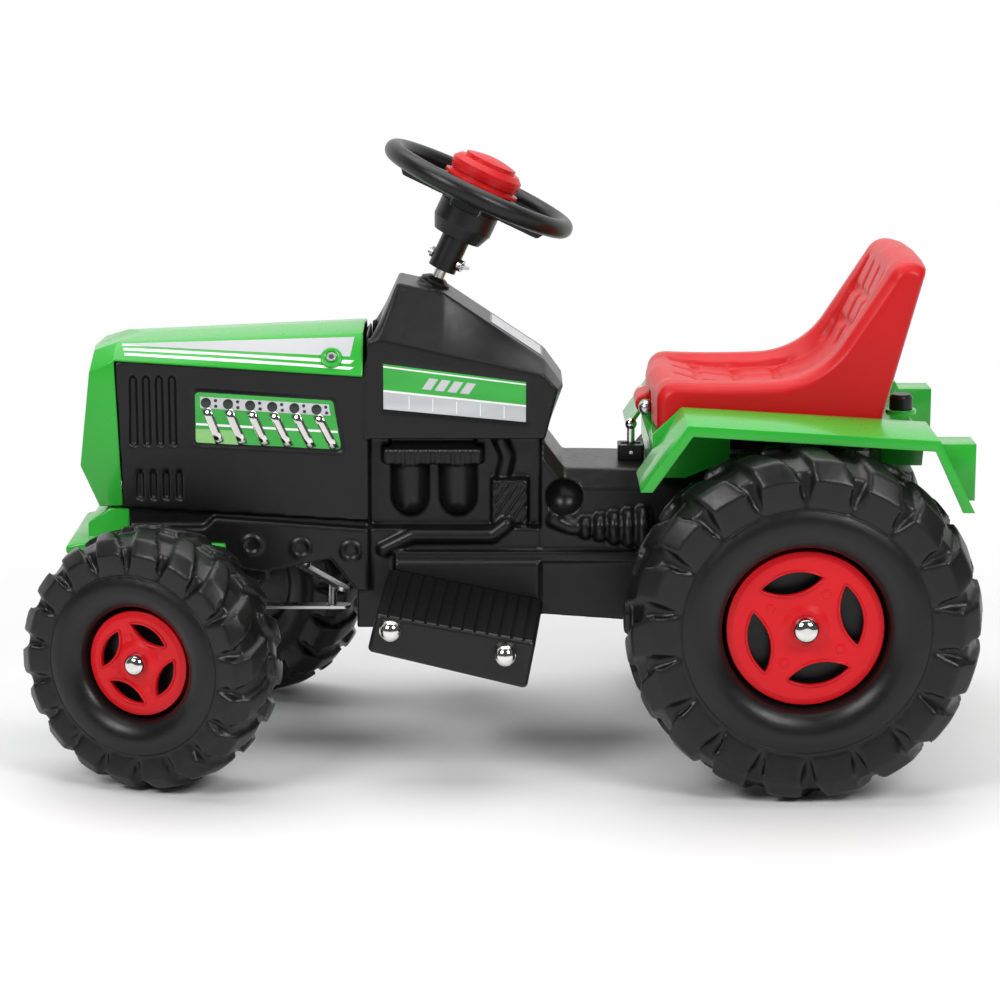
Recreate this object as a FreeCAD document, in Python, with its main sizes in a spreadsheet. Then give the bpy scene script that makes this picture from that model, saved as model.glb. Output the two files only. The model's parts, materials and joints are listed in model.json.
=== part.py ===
"""Ride-on toy tractor, battery driven, built as an assembly of separate pieces.

Millimetres. +Z is up, the tractor faces -X, and its left side is -Y.
The origin is on the floor under the middle of the tractor.
The front wheels stand turned to the right, as they do at rest.
"""
import FreeCAD, Part
import math
import os
import Sketcher

V = FreeCAD.Vector
Rotation = FreeCAD.Rotation
Placement = FreeCAD.Placement

# Lengths and places, in millimetres
SIZES = {
    # fits shared by all pieces
    "running_gap": 0.05,
    "seat_gap": 0.2,
    "slide_gap": 0.3,
    "overrun": 30.0,
    # wheels and axles
    "axle_radius": 6.0,
    "bush_radius": 12.0,
    "rear_axle_x": 284.0,
    "rear_track_half": 200.0,
    "rear_radius": 168.0,
    "rear_half_width": 50.0,
    "rear_lug_height": 7.0,
    "rear_disc_radius": 73.5,
    "rear_web_back": 14.0,
    "rear_web_front": 12.0,
    "rear_disc_height": 17.0,
    "rear_cap_radius": 13.5,
    "front_radius": 126.0,
    "front_half_width": 45.0,
    "front_lug_height": 6.0,
    "front_disc_radius": 50.5,
    "front_web_back": 12.0,
    "front_web_front": 14.0,
    "front_disc_height": 15.0,
    "front_cap_radius": 11.0,
    "tyre_wall": 3.5,
    "well_clearance": 1.5,
    "well_flare": 4.0,
    "disc_wall": 3.0,
    "disc_bore_gap": 1.0,
    "disc_rim_height": 1.6,
    "disc_boss_radius": 17.0,
    "disc_boss_height": 2.5,
    "slot_lip": 2.2,
    "cap_seat_depth": 8.0,
    # front axle and steering
    "kingpin_x": -296.0,
    "kingpin_y": 80.0,
    "kingpin_radius": 6.0,
    "kingpin_top": 179.0,
    "stub_length": 97.0,
    "steer_arm": 45.0,
    "arm_width": 18.0,
    "arm_thickness": 4.0,
    "arm_top": 135.0,
    "arm_pin_radius": 4.0,
    "arm_pin_height": 9.0,
    "knuckle_boss_radius": 13.0,
    "knuckle_boss_bottom": 108.0,
    "knuckle_boss_top": 147.0,
    "beam_bottom": 150.0,
    "beam_top": 172.0,
    "beam_width": 30.0,
    "beam_half_length": 96.0,
    "beam_bolt_y": 32.0,
    "beam_bolt_radius": 4.0,
    "beam_bolt_head": 7.0,
    "beam_bolt_depth": 24.0,
    "kingpin_bush_radius": 9.0,
    "kingpin_bush_flange": 12.0,
    "bush_flange_height": 2.5,
    "clip_height": 2.0,
    "tie_bar_thickness": 3.0,
    "tie_bar_width": 16.0,
    "tie_bar_overhang": 10.0,
    "tongue_end_overhang": 11.0,
    "crank_hole_play": 1.8,
    "crank_thickness": 4.0,
    "crank_width": 18.0,
    "column_radius": 6.0,
    "column_bottom": 420.0,
    "column_bore_gap": 2.0,
    "column_bush_radius": 10.0,
    "column_bush_length": 13.0,
    "column_bush_top": 387.0,
    "collar_radius": 15.0,
    "collar_height": 6.5,
    "collar_seat": 102.5,
    "collar_boss_radius": 17.0,
    "collar_boss_depth": 30.0,
    # steering wheel and horn, along the steering axis from the rim plane
    "wheel_centre_x": -20.5,
    "wheel_centre_z": 553.0,
    "rim_radius": 91.0,
    "rim_tube": 9.5,
    "spoke_width": 30.0,
    "spoke_depth": 19.0,
    "hub_radius": 33.0,
    "hub_top": 4.0,
    "hub_bottom": 20.0,
    "cup_radius": 30.0,
    "cup_low_radius": 24.0,
    "cup_bottom": 52.0,
    "sleeve_radius": 14.0,
    "sleeve_bottom": 87.0,
    "column_top": 28.0,
    "clamp_depth": 76.0,
    "clamp_radius": 3.0,
    "clamp_half_length": 20.0,
    "wing_length": 18.0,
    "wing_thickness": 3.0,
    "horn_radius": 38.0,
    "horn_flange_height": 3.0,
    "horn_guide_height": 9.0,
    "horn_wall": 3.0,
    "horn_travel": 3.0,
    "horn_button_radius": 36.0,
    "horn_step_radius": 26.0,
    "horn_skirt_height": 15.0,
    "horn_step_height": 4.0,
    "horn_crown_height": 4.0,
    "horn_bevel": 5.0,
    "horn_foot_bevel": 1.5,
    "horn_spring_radius": 8.0,
    "horn_spring_wire": 1.2,
    # bonnet block and bonnet
    "bonnet_half": 68.0,
    "bonnet_wall": 2.8,
    "bonnet_rear_x": -133.0,
    "bonnet_top_rear": 423.0,
    "bonnet_top_front": 412.0,
    "bonnet_shoulder_x": -345.0,
    "bonnet_nose_top_x": -396.0,
    "bonnet_nose_top_z": 404.0,
    "bonnet_nose_x": -412.0,
    "bonnet_nose_z": 290.0,
    "bonnet_chin_x": -396.0,
    "bonnet_chin_z": 247.5,
    "bonnet_strip_rear_z": 378.6,
    "bonnet_strip_front_z": 394.0,
    "cowl_rear_top_x": -374.0,
    "cowl_rear_low_x": -369.0,
    "cowl_rear_low_z": 250.0,
    "bonnet_edge_drop": 9.0,
    "bonnet_setback": 14.0,
    "bonnet_edge_width": 5.0,
    "bonnet_crown_width": 28.0,
    "bonnet_crown_gap": 2.0,
    "bonnet_screw_x": -163.5,
    "bonnet_screw_z": 395.0,
    "bonnet_boss_radius": 8.0,
    "bonnet_boss_height": 1.2,
    "screw_radius": 2.5,
    "screw_head_radius": 4.5,
    "screw_head_height": 2.0,
    "screw_length": 16.0,
    "panel_bottom_front": 248.5,
    "panel_bottom_rear": 234.5,
    "panel_front_x": -363.0,
    "louvre_front_x": -356.0,
    "louvre_pitch": 12.6,
    "louvre_width": 7.0,
    "louvre_depth": 4.0,
    "louvre_low_z": 312.0,
    "louvre_high_z": 374.5,
    "louvre_short_x": -351.0,
    "louvre_short_low_z": 259.0,
    "louvre_short_high_z": 281.0,
    "window_front_x": -300.0,
    "window_rear_x": -159.0,
    "window_rear_low_x": -150.0,
    "window_front_top_z": 366.0,
    "window_rear_top_z": 357.0,
    "window_front_low_z": 309.0,
    "window_rear_low_z": 301.0,
    "window_depth": 2.0,
    "window_round": 7.0,
    # console
    "console_front_x": -128.0,
    "console_toe_x": -132.6,
    "console_half": 67.0,
    "console_top_half": 40.0,
    "console_low_z": 316.0,
    "console_lip": 3.0,
    "shoulder_front_z": 414.0,
    "shoulder_rear_x": 42.0,
    "shoulder_rear_z": 380.0,
    "shoulder_mid_z": 399.5,
    "shoulder_nose_x": 56.0,
    "console_neck_x": -117.0,
    "console_neck_z": 428.0,
    "console_top_front_x": -100.0,
    "console_top_front_z": 465.5,
    "console_top_rear_x": -54.0,
    "console_top_rear_z": 455.5,
    "dash_low_x": 44.0,
    "dash_low_z": 390.0,
    "dash_nose_x": 62.0,
    "dash_nose_z": 365.0,
    "console_low_rear_x": 44.0,
    "badge_front_x": -116.0,
    "badge_rear_x": 28.0,
    "badge_front_top_z": 393.0,
    "badge_rear_top_z": 374.0,
    "badge_front_low_z": 343.0,
    "badge_rear_low_z": 330.0,
    "badge_depth": 1.2,
    "badge_round": 3.0,
    # engine bay, tail and lower body
    "bay_half": 46.0,
    "bay_rear_x": 44.0,
    "bay_floor_z": 226.0,
    "tail_half": 64.0,
    "tail_top_half": 52.0,
    "tail_front_x": 40.0,
    "tail_throat_x": 63.0,
    "tail_top_front": 285.0,
    "tail_top_rear": 281.0,
    "tail_bevel": 18.0,
    "tail_rear_x": 405.0,
    "tail_bottom_front": 140.0,
    "tail_bottom_rear": 114.0,
    "keel_half": 62.0,
    "keel_front_x": -141.0,
    "keel_bottom": 126.0,
    "keel_rear_x": 32.0,
    "shelf_front_x": -103.0,
    "shelf_rear_x": 137.0,
    "shelf_half": 69.0,
    "shelf_top_z": 204.0,
    "shelf_low_z": 194.0,
    "lower_box_half": 73.0,
    "lower_box_rear_x": 39.0,
    "front_half": 60.0,
    "front_ledge_z": 227.0,
    "pedestal_front_z": 204.0,
    "sill_half": 70.0,
    "sill_front_low_z": 212.0,
    "sill_low_x": -270.0,
    "sill_low_z": 190.0,
    "ledge_front_z": 228.0,
    "ledge_step_x": -279.0,
    "ledge_step_length": 11.0,
    "ledge_step_z": 238.0,
    "ledge_rear_z": 227.0,
    "pedestal_front_x": -322.0,
    "pedestal_rear_x": -228.0,
    "arch_front_z": 184.0,
    "arch_rear_z": 197.0,
    "arch_rear_x": -167.0,
    "arch_low_z": 165.0,
    "boss_ring_radius": 9.5,
    "boss_ring_height": 2.0,
    "boss_ring_wall": 2.0,
    "boss_row_front_x": -243.0,
    "boss_row_step": 48.5,
    "boss_row_z": 211.0,
    "boss_row_drop": 3.0,
    "hull_wall": 5.0,
    # engine shapes moulded in the bay
    "canister_radius": 17.5,
    "canister_front_x": -88.0,
    "canister_rear_x": -41.0,
    "canister_top_z": 290.0,
    "canister_low_z": 255.0,
    "cap_band_front_x": -114.0,
    "cap_band_rear_x": -17.0,
    "cap_band_height": 16.0,
    "cap_band_depth": 18.5,
    "cap_knurl_width": 4.0,
    "cap_knurl_depth": 2.0,
    "cap_bar_height": 7.0,
    "filter_front_x": -8.0,
    "filter_rear_x": 27.0,
    "filter_low_z": 230.0,
    "filter_top_z": 274.0,
    "filter_depth": 14.0,
    "filter_rib_width": 3.0,
    "filter_rib_depth": 3.5,
    "pipe_radius": 7.0,
    "ball_x": 63.0,
    "ball_z": 258.0,
    "ball_radius": 18.0,
    "bellows_front_x": 76.0,
    "bellows_length": 70.0,
    "bellows_z": 228.0,
    "bellows_small_radius": 9.0,
    "bellows_large_radius": 22.0,
    "bellows_groove": 6.5,
    # battery bay and drive
    "battery_front_x": 158.0,
    "battery_length": 150.0,
    "battery_half_width": 25.0,
    "battery_height": 86.0,
    "battery_floor_z": 188.0,
    "battery_gap": 0.3,
    "battery_terminal_radius": 4.0,
    "battery_terminal_height": 6.0,
    "rear_bush_length": 22.0,
    "gearbox_length": 104.0,
    "gearbox_depth": 62.0,
    "gearbox_height": 74.0,
    "gearbox_front_offset": 30.0,
    "gearbox_round": 10.0,
    "motor_radius": 18.0,
    "motor_length": 52.0,
    "motor_offset_x": 50.0,
    "motor_offset_z": 14.0,
    "dog_radius": 26.0,
    "dog_length": 22.0,
    # fender deck
    "deck_half": 116.0,
    "deck_top_z": 330.0,
    "deck_thickness": 4.0,
    "deck_front_x": 146.0,
    "deck_rear_x": 404.0,
    "deck_hatch_margin": 6.0,
    "deck_foot_length": 12.0,
    "deck_foot_setback": 30.0,
    "fender_half": 212.0,
    "fender_wall": 4.0,
    "fender_lip": 10.0,
    "fender_tip_x": 130.5,
    "fender_tip_z": 293.5,
    "fender_top_front_x": 173.5,
    "fender_top_front_z": 356.0,
    "fender_top_rear_x": 407.0,
    "fender_top_rear_z": 342.0,
    "fender_end_x": 441.0,
    "fender_end_z": 274.0,
    "fender_tip_width": 11.0,
    "deck_wall_low_z": 288.0,
    "deck_wall_rear_low_z": 300.0,
    "notch_front_x": 220.0,
    "notch_rear_x": 367.0,
    "notch_front_low_z": 306.0,
    "deck_side_toe_x": 178.0,
    "leg_rise": 27.0,
    "lamp_block_rear_x": 447.0,
    "lamp_block_top_z": 331.0,
    "lamp_block_inner_y": 132.0,
    "lamp_block_outer_y": 170.0,
    "lamp_block_low_z": 277.0,
    "ear_half_span": 32.0,
    "ear_thickness": 6.0,
    "ear_low_z": 312.0,
    # seat and its hinge
    "seat_half": 105.0,
    "seat_front_x": 145.0,
    "seat_rear_x": 408.0,
    "seat_pad_z": 365.0,
    "seat_back_top_z": 495.0,
    "seat_wall": 10.0,
    "seat_hollow_rear_x": 345.0,
    "hinge_x": 143.0,
    "hinge_z": 343.0,
    "hinge_pin_radius": 4.0,
    "hinge_lug_radius": 10.0,
    "hinge_lug_half": 24.0,
    "hinge_cap_radius": 7.5,
    "ear_room_radius": 16.0,
    "ear_room_width": 22.0,
    "seat_knob_x": 398.0,
    "seat_knob_radius": 11.5,
    "seat_knob_height": 15.0,
    "seat_knob_stud": 4.0,
    "knob_base_radius": 15.0,
    "knob_base_height": 4.0,
    # direction lever
    "lever_x": 130.0,
    "lever_base_half": 13.0,
    "lever_base_height": 15.0,
    "lever_slot": 9.4,
    "lever_floor": 2.0,
    "lever_radius": 4.0,
    "lever_height": 27.0,
    "lever_knob_radius": 6.0,
    "lever_pin_radius": 2.0,
    # footrests
    "footrest_inner_y": 73.3,
    "footrest_outer_y": 192.0,
    "footrest_front_x": -126.0,
    "footrest_rear_x": 34.0,
    "footrest_top_front_z": 172.0,
    "footrest_top_rear_z": 145.0,
    "footrest_low_front_z": 135.0,
    "footrest_low_rear_z": 98.0,
    "footrest_rise": 18.0,
    "footrest_lean": 9.0,
    "footrest_round": 5.0,
    "footrest_wall": 6.0,
    "tread_groove_width": 2.5,
    "tread_groove_depth": 1.5,
    "rod_radius": 4.0,
    "rod_front_x": -103.0,
    "rod_front_z": 158.0,
    "rod_rear_x": 5.0,
    "rod_rear_z": 134.0,
    "rod_cap_radius": 11.0,
    # accelerator pedal on the right footrest
    "pedal_pivot_x": 16.0,
    "pedal_pivot_z": 172.0,
    "pedal_length": 92.0,
    "pedal_inner_y": 86.0,
    "pedal_outer_y": 158.0,
    "pedal_thickness": 7.0,
    "pedal_pin_radius": 3.0,
    "pedal_ear_width": 6.0,
    "pedal_ear_radius": 7.0,
    # bumper and hitch
    "bumper_nose_x": -424.0,
    "bumper_rear_x": -268.0,
    "bumper_low_z": 204.0,
    "bumper_plate_top": 214.0,
    "bumper_bevel": 2.0,
    "bumper_half": 78.0,
    "bumper_block_front_x": -404.0,
    "bumper_block_half": 62.0,
    "bumper_block_top": 247.0,
    "bumper_block_knee": 232.0,
    "hitch_z": 212.0,
    "hitch_thickness": 8.0,
    "hitch_half_width": 24.0,
    "hitch_reach": 38.0,
    "hitch_hole_radius": 6.0,
    "hitch_plate_height": 40.0,
    "hitch_plate_thickness": 5.0,
}

# Angles, in degrees
ANGLES = {
    "steer_rest_deg": -21.0,
    "column_tilt_deg": 25.0,
    "spoke_turn_deg": 15.0,
    "slot_skew_deg": 5.0,
    "rear_disc_turn_deg": 17.0,
    "front_disc_turn_deg": -22.0,
    "filter_rib_deg": 40.0,
    "pedal_rest_deg": 22.0,
}

# Counts of what repeats
COUNTS = {
    "lug_count": 18,
    "slot_count": 4,
    "spoke_count": 4,
    "knurl_count": 10,
    "filter_rib_count": 6,
    "bellows_rib_count": 5,
    "tread_groove_count": 12,
    "boss_row_count": 3,
    "louvre_count": 4,
    "horn_spring_turns": 5,
}

# Wheel section: shares of the wheel's radius and of its half width
TYRE_RING_SHARES = {"mid_radius": 0.58, "mid_width": 1.0, "end_radius": 0.69, "end_width": 0.93}
TYRE_WELL_WIDTH_SHARE = 0.78
TYRE_BASE_SHARES = [(0.70, 0.89), (0.90, 0.80)]
TYRE_CROWN_WIDTH_SHARE = 0.40
LUG_TOP_SHARES = [(0.715, 0.94), (0.86, 1.0), (0.965, 0.74), (1.0, 0.25)]
LUG_UNDER_SHARES = [(0.93, 0.0), (0.93, 0.36), (0.86, 0.76), (0.715, 0.84)]
# Lug seen from above: shares of the pitch along the tread and of the half width across it
LUG_PLAN_SHARES = [(-0.36, 1.1), (0.30, 1.1), (0.74, 0.04), (0.36, 0.04)]
LUG_STAGGER_SHARE = 0.5
# Crank pin below the tie bar and bore of the wheel's hub: shares of the bar's and the hub's thickness
CRANK_PIN_FOOT_SHARE = 1.5
HUB_BORE_LOW_SHARE = 1.5
HUB_BORE_TOP_SHARE = 4.0
# Clamp screw: head as a share of the shank's radius, nut and wings as shares of the wing's thickness
CLAMP_HEAD_SHARE = 1.8
WING_NUT_SHARE = 1.5
WING_REACH_SHARE = 3.0
# Bends of the moulded pipes: shares of the pipe's radius
UPPER_BEND_SHARES = (2.2, 3.0)
UPPER_FOOT_SHARE = 1.5
LOWER_BEND_SHARE = 4.0
LOWER_END_SHARE = 3.0
ELBOW_SHARE = 1.5
# Room under the console's roof and rounding of the lever's base: shares of the wall and of the half width
CONSOLE_ROOF_SHARE = 4.0
LEVER_ROUND_SHARE = 0.25
# Leaf slots of the wheel discs: shares of the disc radius
SLOT_LENGTH_SHARE = 0.80
SLOT_WIDTH_SHARE = 0.28
SLOT_RADIUS_SHARE = 0.61
# Dome caps: shares of the cap's radius, and of the dome's height
DOME_RIM_SHARE = 0.35
DOME_TOP_SHARE = 1.05
DOME_FLAT_SHARE = 0.12
DOME_MID_SHARE = 0.78
DOME_RISE_SHARE = 0.66
# Steering wheel spokes: shares of the hub's radius, the rim's radius and the rim's tube
SPOKE_ROOT_SHARE = 0.8
SPOKE_KNEE_SHARE = 0.80
SPOKE_TOE_SHARE = 0.87
SPOKE_LOW_SHARE = 0.25
SPOKE_HIGH_SHARE = 0.4
CUP_SHOULDER_SHARE = 0.75
COLLAR_RIM_SHARE = 0.4
COLLAR_TOP_SHARE = 0.55
# Horn crown: shares of its radius and height
HORN_MID_SHARE = 0.5
HORN_RISE_SHARE = 0.72
# Hinge cap, knob and lever: shares of the cap's radius, the knob's sizes and the base's half length
HINGE_CAP_SHARE = 0.6
KNOB_BEVEL_SHARE = 0.8
LEVER_SLOT_SHARE = 0.75
LEVER_PIN_SHARE = 0.95
POST_SHARES = (0.15, 0.85)
HITCH_EYE_SHARE = 0.6
# Footrest: how much of the rise each corner of its inner end takes
FOOTREST_RISE_SHARES = (0.7, 1.0, 0.7, 0.7)
# Fender: how far its lip's inner corners lean, as shares of the lip's depth
STRIP_REAR_SHARE = 0.4
STRIP_FRONT_SHARE = 0.5
LAMP_TOP_SHARE = 0.16
EAR_SHARE = 0.7
# Seat sections, from its side to its middle: width as a share of the half width, then the outline's points
# as shares of the seat's length and height, and the point that each rounded side passes through
SEAT_SHARES = [
    (1.0, [(0.040, 0), (0.042, 0.15), (0.105, 0.240), (0.456, 0.240), (0.726, 0.493), (0.882, 0.867),
           (0.970, 0.891), (0.823, 0)],
     {1: (0.062, 0.213), 2: (0.270, 0.234), 3: (0.620, 0.327), 5: (0.925, 0.934)}),
    (0.93, [(0.021, 0), (0.021, 0.18), (0.087, 0.282), (0.445, 0.282), (0.703, 0.523), (0.863, 0.916),
            (0.992, 0.940), (0.833, 0)],
     {1: (0.040, 0.252), 2: (0.266, 0.276), 3: (0.600, 0.358), 5: (0.925, 0.985)}),
    (0.76, [(0.017, 0), (0.017, 0.18), (0.084, 0.290), (0.445, 0.288), (0.700, 0.530), (0.860, 0.934),
            (0.996, 0.955), (0.833, 0)],
     {1: (0.036, 0.258), 2: (0.266, 0.282), 3: (0.597, 0.364), 5: (0.926, 0.993)}),
    (0.58, [(0.010, 0), (0.008, 0.15), (0.076, 0.276), (0.530, 0.230), (0.741, 0.530), (0.871, 0.952),
            (0.998, 0.965), (0.833, 0)],
     {1: (0.024, 0.238), 2: (0.304, 0.214), 3: (0.658, 0.325), 5: (0.932, 1.0)}),
    (0, [(0.008, 0), (0, 0.15), (0.068, 0.288), (0.544, 0.222), (0.753, 0.518), (0.873, 0.964),
         (0.998, 0.976), (0.833, 0)],
     {1: (0.015, 0.250), 2: (0.304, 0.208), 3: (0.673, 0.319), 5: (0.935, 1.008)}),
]
# Bellows: where each rib starts and ends, as shares of the pitch
RIB_START_SHARE = 0.35
RIB_END_SHARE = 0.75
# Bonnet sections: shares of the drop at its edge and of the nose's setback there
EDGE_DROP_SHARE = 0.33
EDGE_SETBACK_SHARE = 0.6
CROWN_DROP_SHARE = 0.06
CROWN_SETBACK_SHARE = 0.15
# Dome caps of the footrest rods: shares of their radius
ROD_CAP_FOOT_SHARE = 0.8
ROD_CAP_RIM_SHARE = 0.5
ROD_CAP_TOP_SHARE = 1.5


class Size:
    """A value of the sheet: its number, and the expression that binds to its cell."""

    def __init__(self, number, text):
        self.number = number
        self.text = text

    def __add__(self, other):
        return Size(self.number + number_of(other), "(%s + %s)" % (self.text, text_of(other)))

    def __radd__(self, other):
        return Size(number_of(other) + self.number, "(%s + %s)" % (text_of(other), self.text))

    def __sub__(self, other):
        return Size(self.number - number_of(other), "(%s - %s)" % (self.text, text_of(other)))

    def __rsub__(self, other):
        return Size(number_of(other) - self.number, "(%s - %s)" % (text_of(other), self.text))

    def __mul__(self, other):
        return Size(self.number * number_of(other), "(%s * %s)" % (self.text, text_of(other)))

    __rmul__ = __mul__

    def __truediv__(self, other):
        return Size(self.number / number_of(other), "(%s / %s)" % (self.text, text_of(other)))

    def __neg__(self):
        return Size(-self.number, "(0 - %s)" % self.text)


def number_of(value):
    return value.number if isinstance(value, Size) else float(value)


def text_of(value):
    return value.text if isinstance(value, Size) else "(%r)" % float(value)


class Named:
    """The sheet's values by name."""


doc = FreeCAD.newDocument("RideOnTractor")
sheet = doc.addObject("Spreadsheet::Sheet", "Sizes")
size = Named()
row = 0
for table in (SIZES, ANGLES, COUNTS):
    for alias, number in table.items():
        row += 1
        sheet.set("A%d" % row, alias)
        sheet.set("B%d" % row, repr(number))
        sheet.setAlias("B%d" % row, alias)
        setattr(size, alias, Size(float(number), "Sizes.%s" % alias))
doc.recompute()

nodes = {}


def add(kind, name):
    return doc.addObject(kind, name)


def node(name, obj):
    """Names a finished sub-part."""
    obj.Label = name
    nodes[name] = obj
    return obj


def bind(obj, prop, value):
    obj.setExpression(prop, text_of(value))


def place(obj, at, rotation=None):
    """Puts an object at a point whose three places are bound to the sheet."""
    obj.Placement = Placement(vector(*at), rotation or Rotation())
    for letter, value in zip("xyz", at):
        bind(obj, "Placement.Base.%s" % letter, value)
    return obj


def vector(x, y, z):
    return V(number_of(x), number_of(y), number_of(z))


ALONG = {"x": Rotation(V(0, 1, 0), 90), "y": Rotation(V(1, 0, 0), -90), "z": Rotation()}


def cylinder(name, radius, height, at, along="z"):
    obj = add("Part::Cylinder", name)
    bind(obj, "Radius", radius)
    bind(obj, "Height", height)
    return place(obj, at, ALONG[along])


def cone(name, low_radius, high_radius, height, at, along="z"):
    obj = add("Part::Cone", name)
    bind(obj, "Radius1", low_radius)
    bind(obj, "Radius2", high_radius)
    bind(obj, "Height", height)
    return place(obj, at, ALONG[along])


def ball(name, radius, at):
    obj = add("Part::Sphere", name)
    bind(obj, "Radius", radius)
    return place(obj, at)


def box(name, low, high):
    """A block between two corners."""
    obj = add("Part::Box", name)
    for prop, start, end in zip(("Length", "Width", "Height"), low, high):
        bind(obj, prop, end - start)
    return place(obj, low)


def fuse(name, *parts, refine=True):
    obj = add("Part::MultiFuse", name)
    obj.Shapes = list(parts)
    obj.Refine = refine
    return obj


def cut(name, base, *tools):
    obj = add("Part::Cut", name)
    obj.Base = base
    obj.Tool = tools[0] if len(tools) == 1 else fuse(name + "_tools", *tools)
    return obj


def common(name, base, tool):
    obj = add("Part::Common", name)
    obj.Base = base
    obj.Tool = tool
    return obj


def group(name, *parts):
    obj = add("Part::Compound", name)
    obj.Links = list(parts)
    return obj


def mirrored(name, source):
    """The same piece on the other side of the tractor."""
    obj = add("Part::Mirroring", name)
    obj.Source = source
    obj.Base = V(0, 0, 0)
    obj.Normal = V(0, 1, 0)
    return obj


def both_sides(name, source):
    return group(name, source, mirrored(name + "_mirror", source))


def posed(name, source, placement):
    """A piece carried by a frame of its own, such as the turned front wheels."""
    obj = group(name, source)
    obj.Placement = placement
    return obj


def rounded(name, base, radius, wanted):
    """Rounds the edges that the test picks."""
    doc.recompute()
    obj = add("Part::Fillet", name)
    obj.Base = base
    number = number_of(radius)
    picked = [i for i, edge in enumerate(base.Shape.Edges, 1) if wanted(edge)]
    obj.Edges = [(i, number, number) for i in picked]
    return obj


def edge_along(axis):
    """A test for straight edges that run along one axis."""

    def wanted(edge):
        ends = [vertex.Point for vertex in edge.Vertexes]
        if len(ends) != 2:
            return False
        line = ends[1] - ends[0]
        return abs(abs(line.normalize().dot(axis)) - 1) < 1e-3

    return wanted


def origin_plane(body, role):
    return [feature for feature in body.Origin.OriginFeatures if feature.Role == role][0]


def outline_sketch(body, role, points, arcs=None, offset=0, holes=()):
    """A closed outline on one of the body's own planes, each corner bound to the sheet.

    arcs maps a corner's number to a point that the side after it passes through.
    holes lists round holes as (x, y, radius).
    """
    arcs = arcs or {}
    sketch = body.newObject("Sketcher::SketchObject", body.Name + "_sketch")
    sketch.AttachmentSupport = [(origin_plane(body, role), "")]
    sketch.MapMode = "FlatFace"
    sketch.AttachmentOffset = Placement(V(0, 0, number_of(offset)), Rotation())
    bind(sketch, "AttachmentOffset.Base.z", offset)
    corners = [vector(x, y, 0) for x, y in points]
    count = len(corners)
    starts = {}
    for i, start in enumerate(corners):
        end = corners[(i + 1) % count]
        if i in arcs:
            arc = Part.Arc(start, vector(arcs[i][0], arcs[i][1], 0), end)
            index = sketch.addGeometry(arc, False)
            placed_start = sketch.getPoint(index, 1)
            starts[i] = 1 if (placed_start - start).Length < (placed_start - end).Length else 2
        else:
            sketch.addGeometry(Part.LineSegment(start, end), False)
            starts[i] = 1
    for i in range(count):
        following = (i + 1) % count
        rule = Sketcher.Constraint("Coincident", i, 3 - starts[i], following, starts[following])
        sketch.addConstraint(rule)
    for i, (x, y) in enumerate(points):
        for kind, value in (("DistanceX", x), ("DistanceY", y)):
            rule = Sketcher.Constraint(kind, -1, 1, i, starts[i], number_of(value))
            index = sketch.addConstraint(rule)
            bind(sketch, "Constraints[%d]" % index, value)
    for x, y, radius in holes:
        circle = Part.Circle(vector(x, y, 0), V(0, 0, 1), number_of(radius))
        index = sketch.addGeometry(circle, False)
        for kind, value in (("DistanceX", x), ("DistanceY", y)):
            rule = sketch.addConstraint(Sketcher.Constraint(kind, -1, 1, index, 3, number_of(value)))
            bind(sketch, "Constraints[%d]" % rule, value)
        rule = sketch.addConstraint(Sketcher.Constraint("Radius", index, number_of(radius)))
        bind(sketch, "Constraints[%d]" % rule, radius)
    return sketch


def new_body(name):
    return add("PartDesign::Body", name)


def prism(name, role, points, length, offset=None, arcs=None, holes=()):
    """An outline given a thickness: to both sides of its plane, or from an offset along its normal."""
    body = new_body(name)
    sketch = outline_sketch(body, role, points, arcs, 0 if offset is None else offset, holes)
    pad = body.newObject("PartDesign::Pad", name + "_pad")
    pad.Profile = sketch
    pad.SideType = "Symmetric" if offset is None else "One side"
    bind(pad, "Length", length)
    return body


def turned(name, points, arcs=None):
    """A profile of (radius, height) turned about the local Z axis."""
    body = new_body(name)
    sketch = outline_sketch(body, "XZ_Plane", points, arcs)
    turn = body.newObject("PartDesign::Revolution", name + "_turn")
    turn.Profile = sketch
    turn.ReferenceAxis = (sketch, ["V_Axis"])
    return body


def lofted(name, role, sections):
    """A form through outlines at several offsets, each given as offset, points and, if it has any, arcs."""
    body = new_body(name)
    sketches = []
    for offset, points, *rest in sections:
        arcs = rest[0] if rest else None
        sketches.append(outline_sketch(body, role, points, arcs, offset))
    loft = body.newObject("PartDesign::AdditiveLoft", name + "_loft")
    loft.Profile = sketches[0]
    loft.Sections = sketches[1:]
    loft.Ruled = True
    return body


def mirrored_sections(sections):
    """Sections of one side, from the outside in, then of the other side."""
    inner_first = [(-offset, *rest) for offset, *rest in reversed(sections)]
    if number_of(sections[-1][0]) == 0:
        inner_first = inner_first[1:]
    return list(sections) + inner_first


def ring(name, inner, outer, low, high):
    return turned(name, [(inner, low), (outer, low), (outer, high), (inner, high)])


def placed(obj, frame):
    """Sets a piece made about the origin into a frame."""
    obj.Placement = frame
    return obj


# Frames that pieces are built in

steer_turn = Rotation(V(0, 0, 1), size.steer_rest_deg.number)
column_tilt = Rotation(V(0, 1, 0), size.column_tilt_deg.number)
wheel_centre = vector(size.wheel_centre_x, 0, size.wheel_centre_z)
steering_frame = Placement(wheel_centre, column_tilt.multiply(steer_turn))
column_frame = Placement(wheel_centre, column_tilt)


def knuckle_frame(side):
    """The turn of one front wheel about its kingpin; side is -1 on the left."""
    pivot = vector(size.kingpin_x, size.kingpin_y * side, 0)
    return Placement(V(0, 0, 0), steer_turn, pivot)


outboard_left = Rotation(V(1, 0, 0), 90)


# Wheels

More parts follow.
